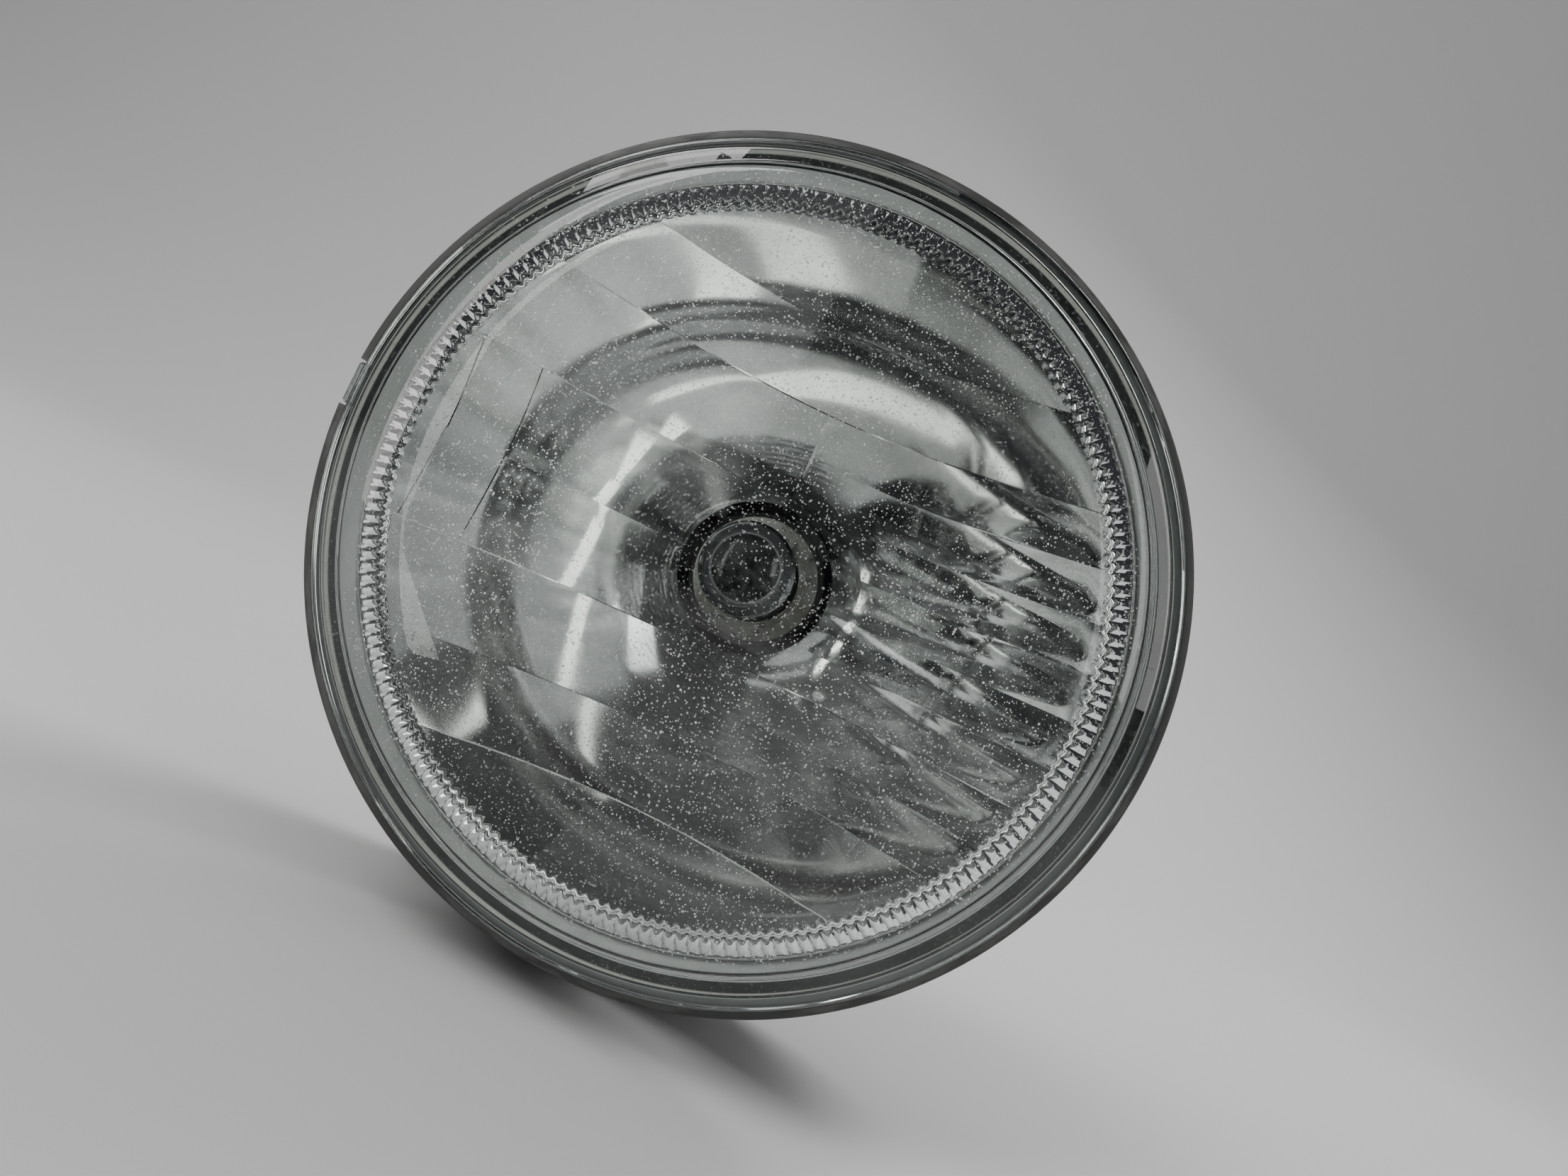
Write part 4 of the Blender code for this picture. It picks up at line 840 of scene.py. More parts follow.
def make_reflector():
    """The faceted bowl: strips across the middle, blocks at the left, a lip and a neck."""
    rows = reflector_rows()
    front, back = {}, {}
    verts, faces = [], []

    def add(x, depth, height):
        verts.append(lamp(x, depth, height))
        return len(verts) - 1

    for side in (-1, 1):
        for row, height in enumerate(rows):
            for column, share in enumerate(reflector_columns(height, side)):
                x = side * share
                depth = paraboloid(x, height) - facet_lift(x, height, side)
                front[side, row, column] = add(x, depth, height)
                back[side, row, column] = add(x, paraboloid(x, height) + REFLECTOR_WALL, height)
    for side in (-1, 1):
        for row in range(len(rows) - 1):
            for column in range(COLUMNS - 1):
                for sheet in (front, back):
                    a, b = sheet[side, row, column], sheet[side, row, column + 1]
                    c, d = sheet[side, row + 1, column + 1], sheet[side, row + 1, column]
                    faces.append((a, b, c, d))
    hole_rows = [row for row, height in enumerate(rows) if abs(height) <= BULB_HOLE + 1e-9]
    for side in (-1, 1):
        for pairs, column in ((range(len(rows) - 1), COLUMNS - 1), (hole_rows[:-1], 0)):
            for row in pairs:
                ends = [front[side, row, column], front[side, row + 1, column]]
                others = [back[side, row + 1, column], back[side, row, column]]
                faces.append((*ends, *others))
    bowl = to_object("reflector_shell", verts, faces, sharp=24)
    stand_for(bowl, "reflector_coating", "reflector")
    edge = [(BOWL_RADIUS + GAP / 3, LIP_FRONT), (LIP_RADIUS, LIP_FRONT)]
    edge += [(LIP_RADIUS, LIP_FRONT + 1.2 * MM), (BOWL_RADIUS + GAP / 3, LIP_FRONT + 1.8 * MM)]
    lip = turned("reflector_lip", softened(edge, 0.3 * MM), 240, lamp())
    start = paraboloid(BULB_HOLE, 0.0) + GAP
    neck = rod_profile(BULB_HOLE + REFLECTOR_WALL, start, REFLECTOR_HIGH.y - FLANGE_Y, BULB_HOLE + GAP / 3)
    neck = turned("reflector_neck", softened(neck, 0.3 * MM), 96, lamp())
    for made in (lip, neck):
        made.data.materials.append(FINISHES["reflector_coating"])
        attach(made, "lamp")


# The bulb


def smooth_wire(name, points, radius, resolution=6):
    """A round wire through the points, as a curve with filled ends."""
    curve = bpy.data.curves.new(name, "CURVE")
    curve.dimensions = "3D"
    curve.bevel_depth = radius
    curve.bevel_resolution = resolution
    curve.use_fill_caps = True
    line = curve.splines.new("POLY")
    line.points.add(len(points) - 1)
    for point, place in zip(line.points, points):
        point.co = (*place, 1.0)
    line.use_smooth = True
    made = bpy.data.objects.new(name, curve)
    bpy.context.scene.collection.objects.link(made)
    return made


def make_capsule():
    """The quartz capsule: a round tip with a dark coat, a thin tube, and a solid pinch behind."""
    tip, end = depths(CAPSULE_LOW, CAPSULE_HIGH)
    radius = CAPSULE_HIGH.x
    wall, pinch_top, rounding = 0.9 * MM, end - 8.0 * MM, 3.4 * MM
    quarter = np.linspace(0, math.pi / 2, 20)
    dome_out = [(radius * math.cos(t), tip + rounding * (1 - math.sin(t))) for t in quarter]
    inner = radius - wall
    dome_in = [
        (inner * math.cos(t), tip + wall + (rounding - wall) * (1 - math.sin(t)))
        for t in quarter[::-1]
    ]
    waist = radius - 0.5 * MM
    profile = [(0.0, end), (waist, end), (waist, pinch_top + 1.2 * MM), (radius, pinch_top)]
    profile += dome_out[:-1] + [(0.0, tip), (0.0, tip + wall)] + dome_in[1:]
    floor = pinch_top - 1.0 * MM
    profile += [(inner, floor - 0.5 * MM), (inner - 1.2 * MM, floor), (0.0, floor)]
    capsule = turned("bulb_capsule", profile, 96, lamp(), sharp=50)
    coat_end = tip + 1.9 * MM

    def coated(place):
        radius_here = math.hypot(place.x, place.z - AXIS_Z)
        outer_skin = place.y - FLANGE_Y < coat_end and radius_here < 0.72 * radius
        return 1.0 if outer_skin else 0.0

    mark_places(capsule, "coat", coated)
    stand_for(capsule, "bulb_glass", "bulb_glass")


def make_filament():
    """A coiled tungsten wire on the optical axis, and the two leads that carry it."""
    low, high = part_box("bulb_filament")
    start, end = depths(low, high)
    radius, turns, wire, steps = high.x - 0.12 * MM, 11, 0.1 * MM, 24
    points = []
    for step in range(turns * steps + 1):
        turn = math.tau * step / steps
        depth = start + wire + (end - start - 2 * wire) * step / (turns * steps)
        points.append(lamp(radius * math.cos(turn), depth, radius * math.sin(turn)))
    coil = smooth_wire("filament_coil", points, wire, 3)
    stand_for(coil, "tungsten", "bulb_filament")
    for name in ("front", "rear"):
        low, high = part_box(f"bulb_lead_{name}")
        thick = (high.z - low.z) / 2
        side = 1 if high.x > -low.x else -1
        far = max(high.x, -low.x) - thick
        reach = low.y - FLANGE_Y + thick
        bend = 1.1 * MM
        route = [lamp(side * far, high.y - FLANGE_Y)]
        for x, depth in arc((far - bend, reach + bend), bend, 0, -90, 10):
            route.append(lamp(side * x, depth))
        route.append(lamp(side * 0.05 * MM, reach))
        lead = smooth_wire(f"lead_wire_{name}", route, 0.8 * thick)
        stand_for(lead, "tungsten", f"bulb_lead_{name}")


def make_ferrule():
    """The sheet-metal cup that clips the capsule to its base."""
    low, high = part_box("bulb_ferrule")
    start, end = depths(low, high)
    bore, wall = CAPSULE_HIGH.x + GAP, 0.6 * MM
    profile = [
        (bore, start),
        (bore + wall + 0.4 * MM, start),
        (bore + wall, start + 1.0 * MM),
        (bore + wall, end - 1.0 * MM),
        (high.x, end - 1.0 * MM),
        (high.x, end),
        (bore, end),
    ]
    body = turned("helper", softened(profile, 0.3 * MM), 96, lamp())
    slots = []
    for index in range(4):
        turn = Matrix.Rotation(math.radians(45 + 90 * index), 4, "Y")
        near = (-0.4 * MM, start - 1.0 * MM, bore - 1.0 * MM)
        far = (0.4 * MM, start + 3.2 * MM, bore + 3.0 * MM)
        slot = block(near, far)
        slot.data.transform(Matrix.Translation(lamp()) @ turn)
        slots.append(slot)
    made = assembled("capsule_ferrule", body, [], slots)
    stand_for(made, "steel", "bulb_ferrule")


def lug(angle, half_spread, inner, outer, start, end):
    """Part of a ring about the optical axis, as a helper."""
    middle = (0.0, AXIS_Z)
    low, high = angle - half_spread, angle + half_spread
    outline = arc(middle, outer, low, high, 12) + arc(middle, inner, high, low, 12)
    return prism(outline, FLANGE_Y + start, FLANGE_Y + end)


BASE_LUGS = ((60, 20), (180, 15), (300, 12))  # each lug's angle and half its spread, degrees
SPIGOT = 9.6 * MM  # radius
LUG_REACH = 12.4 * MM  # from the axis


def make_bulb_base():
    """The moulded base: a spigot with bayonet lugs, a flange, a cap, a finger grip and the connector."""
    low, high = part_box("bulb_base")
    flange_radius, cap_radius, dimple_circle = 16.0 * MM, 11.0 * MM, 13.6 * MM
    start, grip_end = depths(low, high)
    cap_end = grip_end - 3.0 * MM
    flange_start = DATUM + 2.3 * MM
    flange_end = flange_start + 2.5 * MM
    profile = [
        (0.0, start),
        (SPIGOT, start),
        (SPIGOT, flange_start),
        (flange_radius, flange_start),
        (flange_radius, flange_end),
        (cap_radius + 0.6 * MM, flange_end),
        (cap_radius, flange_end + 0.8 * MM),
        (cap_radius, cap_end),
        (0.0, cap_end),
    ]
    body = turned("helper", softened(profile, 0.6 * MM), 128, lamp())
    joined = []
    for angle, half_spread in BASE_LUGS:
        reach = (SPIGOT - 1.0 * MM, LUG_REACH)
        joined.append(lug(angle, half_spread, *reach, DATUM - 5.6 * MM, DATUM - 2.9 * MM))
    for index in range(18):
        centre = polar(cap_radius, 90 + 20 * index)
        if centre.x < 0.6 * cap_radius:
            joined.append(rod(0.55 * MM, flange_end, cap_end - 1.4 * MM, centre, edge=0.2 * MM, segments=16))
    depth, width, socket_depth = 10.5 * MM, 16.0 * MM, 14.0 * MM
    shroud_front = cap_end + 0.6 * MM - depth
    middle = (FLANGE_Y + shroud_front + depth / 2, AXIS_Z)
    shroud = rounded_rectangle(middle, depth, width, 1.6 * MM)
    joined.append(prism(shroud, 0.6 * cap_radius, high.x, "X", 0.35 * MM))
    collar = rounded_rectangle(middle, depth, width + 1.2 * MM, 1.9 * MM)
    joined.append(prism(collar, cap_radius + 1.5 * MM, cap_radius + 3.0 * MM, "X", 0.25 * MM))
    top = AXIS_Z + width / 2
    latch = [
        (high.x - 8.0 * MM, top - 0.5 * MM),
        (high.x - 3.0 * MM, top - 0.5 * MM),
        (high.x - 3.5 * MM, top),
        (high.x - 6.5 * MM, top + 1.5 * MM),
        (high.x - 8.0 * MM, top + 1.5 * MM),
    ]
    joined.append(prism(latch, middle[0] - 2.5 * MM, middle[0] + 2.5 * MM, "Y", 0.2 * MM))
    grip = rounded_rectangle((0.0, AXIS_Z), 3.0 * MM, 18.0 * MM, 1.2 * MM)
    joined.append(prism(grip, FLANGE_Y + cap_end - 1.0 * MM, high.y, "Y", 0.4 * MM))
    socket = rounded_rectangle(middle, depth - 3.2 * MM, width - 3.2 * MM, 0.8 * MM)
    cutters = [prism(socket, high.x - socket_depth, high.x + 1.0 * MM, "X")]
    for name in ("upper", "lower"):
        one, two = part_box(f"terminal_{name}")
        spare = Vector((GAP, GAP, GAP))
        cutters.append(block(one - spare, two + spare))
    for angle in (25, 155, 205, 335):
        dimple = (flange_end - 0.5 * MM, flange_end + 1.0 * MM)
        cutters.append(rod(0.9 * MM, *dimple, polar(dimple_circle, angle), segments=24))
    base = assembled("base_moulding", body, joined, cutters)
    stand_for(base, "base_plastic", "bulb_base")


def make_terminals():
    """The two tinned blades, chamfered to a point, with a small hole near the tip."""
    for name in ("upper", "lower"):
        low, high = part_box(f"terminal_{name}")
        middle, chamfer = (low.y + high.y) / 2, 0.7 * MM
        half = (high.y - low.y) / 2
        outline = [
            (low.x, middle - half),
            (high.x - 1.6 * MM, middle - half),
            (high.x, middle - half + chamfer),
            (high.x, middle + half - chamfer),
            (high.x - 1.6 * MM, middle + half),
            (low.x, middle + half),
        ]
        body = prism(outline, low.z, high.z, "Z", 0.15 * MM)
        spot = Vector((high.x - 3.2 * MM, middle, 0.0))
        dimple = rod(0.45 * MM, low.z - 1.0 * MM, high.z + 1.0 * MM, spot, "Z")
        blade = assembled(f"blade_{name}", body, [], [dimple])
        stand_for(blade, "tinned_brass", f"terminal_{name}")


def make_bulb_seal():
    low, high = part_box("bulb_seal")
    section = (high.y - low.y) / 2
    profile = arc((high.x - section, (low.y + high.y) / 2 - FLANGE_Y), section, 0, 360, 20)[:-1]
    seal = turned("base_seal", profile, 128, lamp(), sharp=180)
    stand_for(seal, "rubber", "bulb_seal")


# The housing and what is screwed to it


RIM_OUTER = HOUSING_HIGH.x
RIM_FRONT = HOUSING_LOW.y - FLANGE_Y
CONE_START = 5.5 * MM
CONE_RADIUS = RIM_OUTER - 5.5 * MM
BACK_RADIUS = 30.2 * MM
HOUSING_WALL = 2.6 * MM
BUSH_LOW, BUSH_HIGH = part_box("pivot_bush_right")
SIDE_BOSS_END = BUSH_LOW.x - GAP
FORK_INNER, FORK_OUTER = 5.6 * MM, 8.1 * MM
SCREW_SIDES = {"left": 150, "right": 30, "lower": 270}
SCREW_CIRCLE = 20.0 * MM
SCREW_HOLE = 2.05 * MM  # radius
VENT_CIRCLE = 22.0 * MM
VENT_STUB = 3.0 * MM  # radius
SIDE_BOSS = 7.0 * MM  # radius
NUT_PIN = 2.2 * MM  # radius
FORK_WIDTH = 11.0 * MM


def cone_radius(depth):
    share = (depth - CONE_START) / (DATUM - CONE_START)
    return CONE_RADIUS + share * (BACK_RADIUS - CONE_RADIUS)


def make_fin(angle):
    """A tapered stiffening fin down the cone."""
    ends = (CONE_START + 2.0 * MM, DATUM - 1.5 * MM)
    rise = 2.2 * MM
    outline = [
        (cone_radius(ends[0]) - 1.0 * MM, ends[0]),
        (cone_radius(ends[0]) + rise, ends[0]),
        (cone_radius(ends[1]) + rise, ends[1]),
        (cone_radius(ends[1]) - 1.0 * MM, ends[1]),
    ]
    fin = prism(outline, -0.9 * MM, 0.9 * MM, "Z", 0.3 * MM)
    fin.data.transform(Matrix.Translation(lamp()) @ Matrix.Rotation(-math.radians(angle), 4, "Y"))
    return fin


def fork_cheek(side):
    top = AXIS_Z - BACK_RADIUS
    outline = arc((NUT.y, NUT.z), FORK_WIDTH / 2, 180, 360, 24)
    outline += [(NUT.y + FORK_WIDTH / 2, top), (NUT.y - FORK_WIDTH / 2, top)]
    return prism(outline, *sorted((side * FORK_INNER, side * FORK_OUTER)), "X", 0.3 * MM)


def make_housing():
    """The rear shell: a rim round the lens, a groove for the bead, a finned cone and a back plate."""
    solid = [
        (0.0, RIM_FRONT),
        (RIM_OUTER, RIM_FRONT),
        (RIM_OUTER, CONE_START - 1.5 * MM),
        (RIM_OUTER - 1.5 * MM, CONE_START),
        (CONE_RADIUS + 0.5 * MM, CONE_START),
        (cone_radius(CONE_START + 0.6 * MM), CONE_START + 0.6 * MM),
        (BACK_RADIUS, DATUM - 1.0 * MM),
        (BACK_RADIUS - 1.0 * MM, DATUM),
        (0.0, DATUM),
    ]
    body = turned("helper", softened(solid, 0.35 * MM), 192, lamp())
    joined = [make_fin(22.5 + 45 * index) for index in range(8)]
    for side in (-1, 1):
        joined.append(fork_cheek(side))
        joined.append(rod(SIDE_BOSS, side * BACK_RADIUS, side * SIDE_BOSS_END, PIVOT, "X", 0.4 * MM, 96))
    vent = polar(VENT_CIRCLE, 90)
    joined.append(rod(VENT_STUB, DATUM - 1.0 * MM, DATUM + 4.6 * MM, vent, "Y", 0.3 * MM))
    pad = (DATUM - 0.6 * MM, DATUM + 0.2 * MM)
    joined.append(rod(15.2 * MM, *pad, lamp(), "Y", 0.1 * MM, 128))
    for angle in SCREW_SIDES.values():
        joined.append(rod(3.9 * MM, *pad, polar(SCREW_CIRCLE, angle), "Y", 0.1 * MM))
    rim_inner = LENS_RADIUS + GAP
    groove = 3.0 * MM
    ledge_inner, ledge_outer, ledge = BOWL_RADIUS + 0.9 * MM, SKIRT_RADIUS + GAP, 3 * GAP
    hollow = [
        (0.0, RIM_FRONT - 1.0 * MM),
        (rim_inner, RIM_FRONT - 1.0 * MM),
        (rim_inner, groove),
        (ledge_outer, groove),
        (ledge_outer, ledge),
        (ledge_inner, ledge),
        (ledge_inner, CONE_START - 0.5 * MM),
        (BACK_RADIUS - HOUSING_WALL, DATUM - HOUSING_WALL),
        (0.0, DATUM - HOUSING_WALL),
    ]
    inside, outside = DATUM - 2 * HOUSING_WALL, DATUM + 1.0 * MM
    cutters = [turned("helper", hollow, 192, lamp())]
    bulb_hole, notch_reach, notch_play = SPIGOT + 0.8 * MM, LUG_REACH + 0.4 * MM, 3
    cutters.append(rod(bulb_hole, inside, outside, lamp(), segments=96))
    for angle, half_spread in BASE_LUGS:
        reach = (bulb_hole - 1.0 * MM, notch_reach)
        cutters.append(lug(angle - BULB_TWIST, half_spread + notch_play, *reach, inside, outside))
    for angle in SCREW_SIDES.values():
        cutters.append(rod(SCREW_HOLE, inside, outside, polar(SCREW_CIRCLE, angle), segments=32))
    cutters.append(rod(1.2 * MM, inside, DATUM + 6.0 * MM, vent, segments=32))
    for side in (-1, 1):
        hole = (side * (SIDE_BOSS_END - 10.8 * MM), side * (SIDE_BOSS_END + 1.0 * MM))
        cutters.append(rod(2.7 * MM, *hole, PIVOT, "X"))
    cutters.append(rod(NUT_PIN + GAP, -10.0 * MM, 10.0 * MM, NUT, "X"))
    half_notch = TAB_HALF + GAP
    outer_corner = lamp(-RIM_OUTER - 1.0 * MM, RIM_FRONT - 1.0 * MM, -half_notch)
    cutters.append(block(outer_corner, lamp(GAP - rim_inner, GAP, half_notch)))
    shell = assembled("housing_shell", body, joined, cutters)
    stand_for(shell, "black_plastic", "rear_housing")


def make_vent_hood():
    """The rubber cap over the vent, ribbed round its side."""
    low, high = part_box("vent_cap")
    start, end = depths(low, high)
    radius, bore, floor = (high.x - low.x) / 2, VENT_STUB + GAP, DATUM + 4.9 * MM
    profile = [
        (bore, start),
        (radius, start),
        (radius, start + 1.6 * MM),
        (radius - 0.8 * MM, start + 2.2 * MM),
        (radius - 1.0 * MM, end - 0.6 * MM),
        (radius - 1.8 * MM, end),
        (0.0, end),
        (0.0, floor),
        (bore, floor),
    ]
    centre = polar(VENT_CIRCLE, 90)
    body = turned("helper", softened(profile, 0.35 * MM), 96, centre)
    ribs = []
    for index in range(8):
        place = beside(centre, radius - 0.9 * MM, 45 * (index + 0.5))
        ribs.append(rod(0.5 * MM, start + 1.2 * MM, end - 1.0 * MM, place, edge=0.2 * MM, segments=20))
    made = assembled("vent_hood", body, ribs, [])
    stand_for(made, "rubber", "vent_cap")


def make_boss_screws():
    """The screws that hold the reflector, each with a six-lobed recess, on a sealing washer."""
    for side, angle in SCREW_SIDES.items():
        low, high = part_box(f"screw_washer_{side}")
        washer = rod_profile((high.x - low.x) / 2, *depths(low, high), SCREW_HOLE)
        centre = polar(SCREW_CIRCLE, angle)
        made = turned(f"boss_washer_{side}", softened(washer, 0.25 * MM), 64, centre)
        stand_for(made, "rubber", f"screw_washer_{side}")
        low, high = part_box(f"reflector_screw_{side}")
        tip, top = depths(low, high)
        radius, head = (high.x - low.x) / 2, top - 2.6 * MM
        profile = [(0.0, tip), (1.0 * MM, tip), (1.6 * MM, tip + 0.9 * MM)]
        pitch = 1.2 * MM
        ridge = tip + 1.2 * MM
        while ridge < head - 3.0 * MM:
            profile += [(1.3 * MM, ridge), (1.75 * MM, ridge + 0.5 * pitch)]
            ridge += pitch
        profile += [(1.5 * MM, ridge), (1.5 * MM, head), (radius, head), (radius, head + 1.2 * MM)]
        profile += [(0.75 * radius, head + 2.3 * MM), (0.45 * radius, top), (0.0, top)]
        body = turned("helper", softened(profile, 0.2 * MM), 64, centre)
        lobes = []
        recess = (top - 1.6 * MM, top + 1.0 * MM)
        for k in range(6):
            lobes.append(rod(0.42 * MM, *recess, beside(centre, 0.95 * MM, 60 * k), segments=16))
        lobes.append(rod(1.0 * MM, *recess, centre, segments=32))
        made = assembled(f"boss_screw_{side}", body, [], lobes)
        stand_for(made, "steel", f"reflector_screw_{side}")


# The bracket, its pivots and the adjuster

STRAP_WIDTH = 16.0 * MM
STRAP_FLANGE = 2.2 * MM
STRAP_RADIUS = BUSH_LOW.x + 1.0 * MM + GAP
STRAP_OUTER = STRAP_RADIUS + 3.0 * MM
FOOT = 4.0 * MM
BUSH_BORE, BUSH_RADIUS, BUSH_FLANGE = 3.5 * MM, 5.1 * MM, 7.4 * MM


def half_ring(profile, steps):
    """The profile of (radius, depth) points, swept round the lower half of a circle."""
    verts, faces, count = [], [], len(profile)
    for step in range(steps + 1):
        turn = -math.pi * step / steps
        verts += [lamp(r * math.cos(turn), depth, r * math.sin(turn)) for r, depth in profile]
    for step in range(steps):
        for k in range(count):
            one, two = step * count, (step + 1) * count
            faces.append((one + k, one + (k + 1) % count, two + (k + 1) % count, two + k))
    faces += [tuple(range(count)), tuple(range(steps * count, (steps + 1) * count))]
    return to_object("helper", verts, faces)


def make_bracket():
    """The carrier: a foot, a channelled strap up to the pivots, and a gusseted tab for the adjuster."""
    low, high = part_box("carrier_bracket")
    front, back = PIVOT_DEPTH - STRAP_WIDTH / 2, PIVOT_DEPTH + STRAP_WIDTH / 2
    flange, web = STRAP_OUTER + STRAP_FLANGE, 2.0 * MM
    channel = [
        (STRAP_RADIUS, front),
        (flange, front),
        (flange, front + web),
        (STRAP_OUTER, front + web),
        (STRAP_OUTER, back - web),
        (flange, back - web),
        (flange, back),
        (STRAP_RADIUS, back),
    ]
    body = half_ring(softened(channel, 0.35 * MM), 120)
    arm_outer = high.x if high.x < flange else STRAP_OUTER + 1.0 * MM
    joined, cutters = [], []
    for side in (-1, 1):
        pad = (side * (STRAP_RADIUS - 0.5 * MM), side * arm_outer)
        joined.append(rod(9.0 * MM, *pad, PIVOT, "X", 0.3 * MM, 96))
    foot = rounded_rectangle((0.0, 0.0), 40.0 * MM, 28.0 * MM, 6.0 * MM, 12)
    joined.append(prism(foot, 0.0, FOOT, "Z", 0.4 * MM))
    tab_y, tab_half, tab_thickness, gusset_thickness = 10.5 * MM, 8.5 * MM, 3.48 * MM, 2.4 * MM
    screw_z = NUT.z
    tab = arc((0.0, screw_z), tab_half, 0, 180, 32) + [(-tab_half, FOOT / 2), (tab_half, FOOT / 2)]
    joined.append(prism(tab, tab_y, tab_y + tab_thickness, "Y", 0.3 * MM))
    gusset = [
        (tab_y + 1.0 * MM, FOOT / 2),
        (tab_y + 1.0 * MM, 0.9 * screw_z),
        (tab_y, 0.9 * screw_z),
        (tab_y - 0.7 * screw_z, FOOT / 2),
    ]
    for side in (-1, 1):
        outer = side * (tab_half - 0.1 * MM)
        joined.append(prism(gusset, *sorted((outer, outer - side * gusset_thickness)), "X", 0.2 * MM))
        spot = (side * (STRAP_RADIUS - 2.0 * MM), side * STRAP_RADIUS)
        cutters.append(rod(BUSH_FLANGE + GAP, *spot, PIVOT, "X", segments=96))
        hole = (side * (STRAP_RADIUS - 2.0 * MM), side * (arm_outer + 1.0 * MM))
        cutters.append(rod(BUSH_RADIUS + GAP, *hole, PIVOT, "X", segments=96))
        bolt = Vector((side * 13.0 * MM, 5.0 * MM, 0.0))
        cutters.append(rod(5.0 * MM, -1.0 * MM, 24.0 * MM, bolt, "Z"))
    cutters.append(rod(3.6 * MM, -1.0 * MM, 4.5 * MM, Vector((0.0, tab_y, screw_z))))
    carrier = assembled("bracket_moulding", body, joined, cutters)
    stand_for(carrier, "black_plastic", "carrier_bracket")


def make_fasteners():
    """The foot's sleeves, the pivots' bushes and their shoulder screws."""
    for side, sign in (("left", -1), ("right", 1)):
        low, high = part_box(f"foot_sleeve_{side}")
        centre = Vector(((low.x + high.x) / 2, (low.y + high.y) / 2, 0.0))
        sleeve = rod_profile((high.x - low.x) / 2, low.z, high.z, 3.3 * MM)
        made = turned(f"sleeve_{side}", softened(sleeve, 0.3 * MM), 96, centre, "Z")
        stand_for(made, "steel", f"foot_sleeve_{side}")

        end = BUSH_HIGH.x
        bush = [
            (BUSH_BORE, BUSH_LOW.x),
            (BUSH_FLANGE, BUSH_LOW.x),
            (BUSH_FLANGE, BUSH_LOW.x + 1.0 * MM),
            (BUSH_RADIUS, BUSH_LOW.x + 1.0 * MM),
            (BUSH_RADIUS, end),
            (BUSH_BORE, end),
        ]
        bush = [(radius, sign * distance) for radius, distance in softened(bush, 0.25 * MM)]
        centre = Vector((0.0, PIVOT.y, PIVOT.z))
        made = turned(f"bush_{side}", bush, 96, centre, "X")
        stand_for(made, "nylon", f"pivot_bush_{side}")

        low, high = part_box("pivot_screw_right")
        tip, top = low.x, high.x
        shoulder, head = BUSH_LOW.x, end + GAP
        screw = [(0.0, tip), (1.9 * MM, tip), (2.4 * MM, tip + 1.0 * MM)]
        ridge = tip + 1.2 * MM
        while ridge < shoulder - 1.6 * MM:
            screw += [(2.05 * MM, ridge), (2.4 * MM, ridge + 0.4 * MM)]
            ridge += 0.8 * MM
        journal = BUSH_BORE - GAP
        screw += [(2.2 * MM, ridge), (2.2 * MM, shoulder), (journal, shoulder), (journal, head)]
        screw += [(6.0 * MM, head), (6.0 * MM, head + 1.9 * MM), (4.6 * MM, top), (0.0, top)]
        screw = [(radius, sign * distance) for radius, distance in softened(screw, 0.3 * MM)]
        body = turned("helper", screw, 96, centre, along="X")
        hexagon = rod(2.6 * MM, sign * (top - 2.2 * MM), sign * (top + 1.0 * MM), centre, "X", segments=6)
        made = assembled(f"shoulder_screw_{side}", body, [], [hexagon])
        stand_for(made, "steel", f"pivot_screw_{side}")


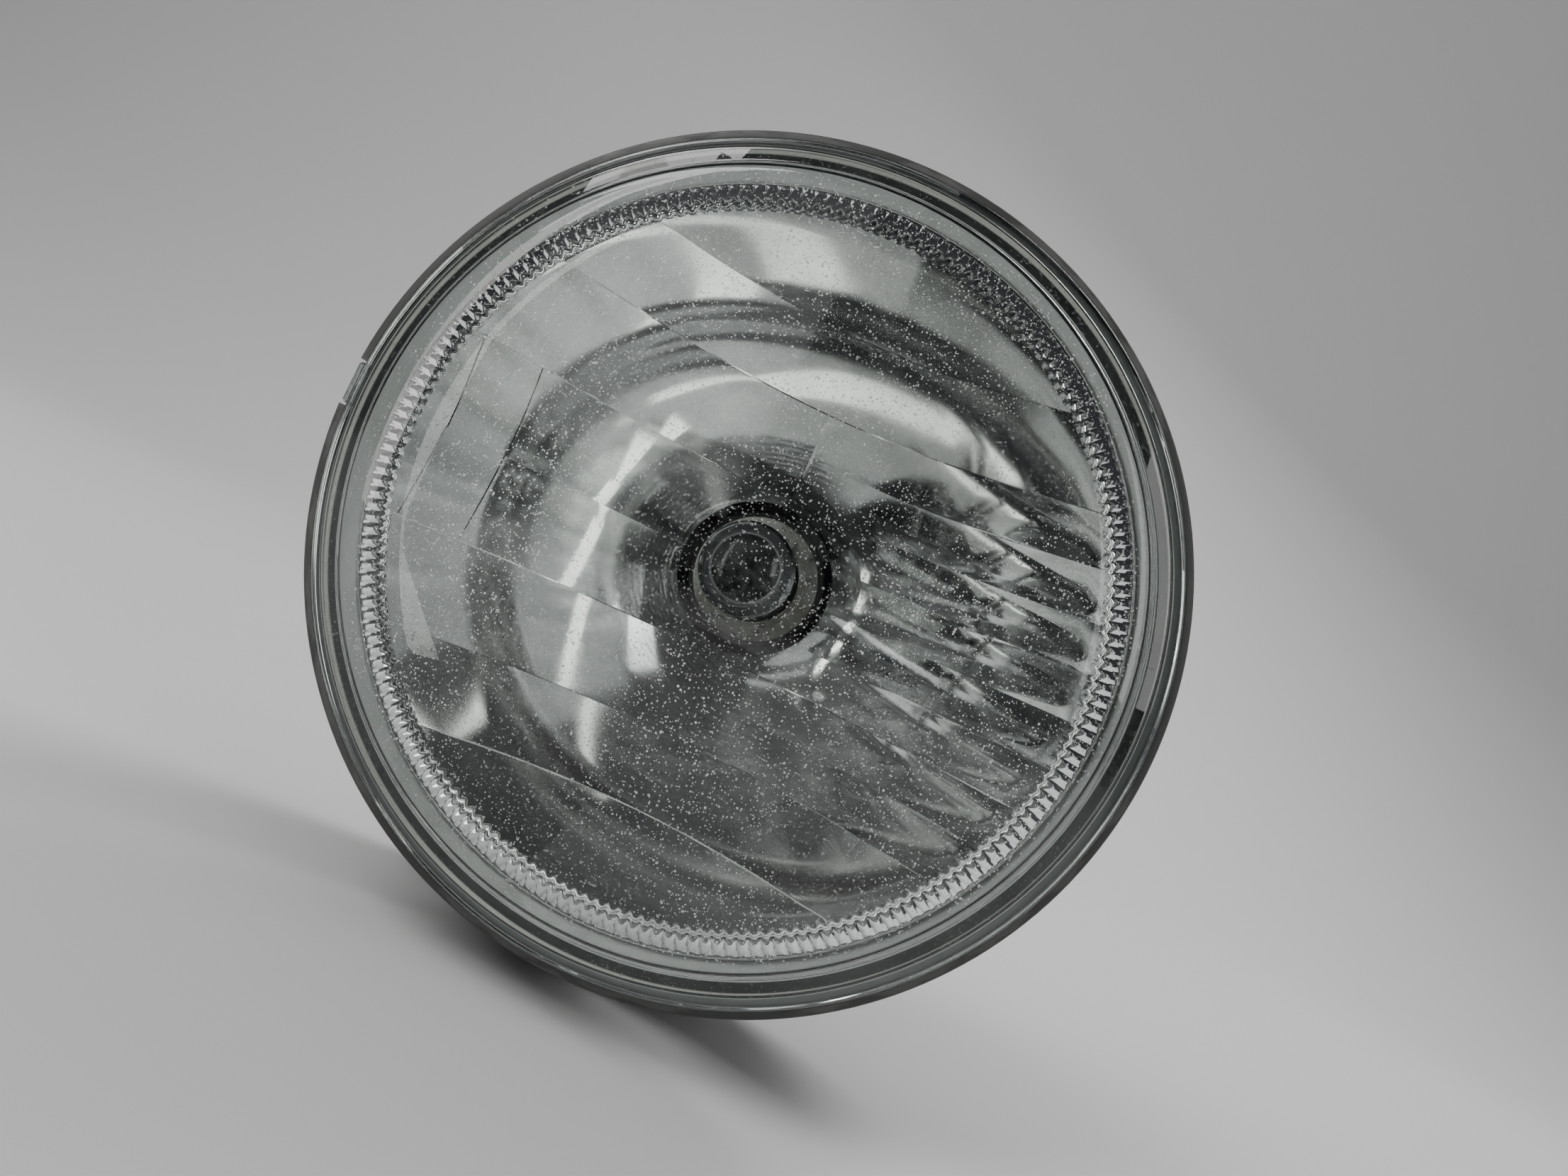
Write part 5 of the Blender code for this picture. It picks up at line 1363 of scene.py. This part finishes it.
def make_aiming_screw():
    """The adjuster: a threaded shank, a journal and collar, and a cross-slotted drive end."""
    low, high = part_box("adjuster_screw")
    ring_low, ring_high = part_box("adjuster_retainer")
    radius, pitch, root = 3.0 * MM, 1.0 * MM, 2.5 * MM
    groove_front = ring_low.y - GAP
    collar, collar_radius = high.y - 8.6 * MM, 6.5 * MM
    centre = Vector((0.0, 0.0, NUT.z))
    steps, sections = 48, []
    turns = int((groove_front - low.y) / pitch)
    verts, faces = [], []
    shape = [(root, 0.0), (radius, 0.32), (radius, 0.46), (root, 0.78)]
    for step in range(turns * steps + 1):
        turn = math.tau * step / steps
        base = low.y + 0.1 * MM + step / steps * (groove_front - low.y - 1.2 * MM) / turns
        fade = min(1.0, step / steps, (turns * steps - step) / steps)
        for r, share in shape:
            reach = root - 0.05 * MM + (r - root + 0.05 * MM) * fade
            verts.append((reach * math.cos(turn), base + share * pitch, NUT.z + reach * math.sin(turn)))
    for step in range(turns * steps):
        one, two = 4 * step, 4 * (step + 1)
        for k in range(4):
            faces.append((one + k, one + (k + 1) % 4, two + (k + 1) % 4, two + k))
    faces += [(0, 1, 2, 3), tuple(4 * turns * steps + k for k in (3, 2, 1, 0))]
    thread = to_object("aiming_thread", verts, faces)
    profile = [
        (0.0, low.y),
        (2.2 * MM, low.y),
        (root, low.y + 0.5 * MM),
        (root, groove_front),
        (2.4 * MM, groove_front),
        (2.4 * MM, ring_high.y + GAP),
        (3.15 * MM, ring_high.y + GAP),
        (3.15 * MM, collar),
        (collar_radius, collar),
        (collar_radius, collar + 1.6 * MM),
        (4.2 * MM, collar + 1.6 * MM),
        (4.2 * MM, high.y - 0.6 * MM),
        (3.6 * MM, high.y),
        (0.0, high.y),
    ]
    body = turned("helper", softened(profile, 0.2 * MM), 96, centre)
    cutters = []
    for width, height in ((3.15 * MM, 0.7 * MM), (0.7 * MM, 3.15 * MM)):
        near = (-width, high.y - 2.2 * MM, NUT.z - height)
        cutters.append(block(near, (width, high.y + 2.0 * MM, NUT.z + height)))
    for k in range(12):
        place = beside(centre, collar_radius + 0.4 * MM, 30 * (k + 0.5))
        cutters.append(rod(0.75 * MM, collar - 1.0 * MM, collar + 2.6 * MM, place, segments=20))
    screw = assembled("aiming_screw", body, [], cutters)
    stand_for(screw, "steel", "adjuster_screw")
    thread.data.materials.append(FINISHES["steel"])
    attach(thread, "adjuster_screw_body")

    middle = (0.0, NUT.z)
    outer, bore = ring_high.x, 2.7 * MM
    clip = arc(middle, outer, -60, 240, 48) + arc(middle, bore, 240, -60, 48)
    body = prism(clip, ring_low.y, ring_high.y, "Y", 0.15 * MM)
    reliefs = []
    for angle in (20, 90, 160):
        spot = beside(centre, 3.4 * MM, angle)
        reliefs.append(rod(0.7 * MM, ring_low.y - 1.0 * MM, ring_high.y + 1.0 * MM, spot, segments=20))
    made = assembled("aiming_clip", body, [], reliefs)
    stand_for(made, "steel", "adjuster_retainer")


def make_aiming_nut():
    """The swivel nut: a rounded block on two pins, with a lead-in round its bore."""
    low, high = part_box("adjuster_nut")
    half = (high.y - low.y) / 2
    outline = rounded_rectangle((NUT.y, NUT.z), 2 * half, 2 * half, 1.4 * MM, 8)
    body = prism(outline, -5.0 * MM, 5.0 * MM, "X", 0.35 * MM)
    pins = [rod(NUT_PIN, low.x, high.x, NUT, "X", 0.3 * MM)]
    bore = rod(3.3 * MM, -12.0 * MM, 12.0 * MM, NUT)
    inside, outside = half - 0.5 * MM, half + 0.2 * MM
    lead = [(3.2 * MM, inside), (4.1 * MM, outside), (0.0, outside), (0.0, inside)]
    front = turned("helper", [(r, -d) for r, d in lead], 64, NUT)
    back = turned("helper", lead, 64, NUT)
    made = assembled("aiming_nut", body, pins, [bore, front, back])
    stand_for(made, "nylon", "adjuster_nut")


def main():
    make_camera()
    make_world()
    make_stage()
    make_lights()
    make_cards()
    make_lens()
    make_sealant()
    make_reflector()
    make_capsule()
    make_filament()
    make_ferrule()
    make_bulb_base()
    make_terminals()
    make_bulb_seal()
    make_housing()
    make_vent_hood()
    make_boss_screws()
    make_bracket()
    make_fasteners()
    make_aiming_screw()
    make_aiming_nut()


main()
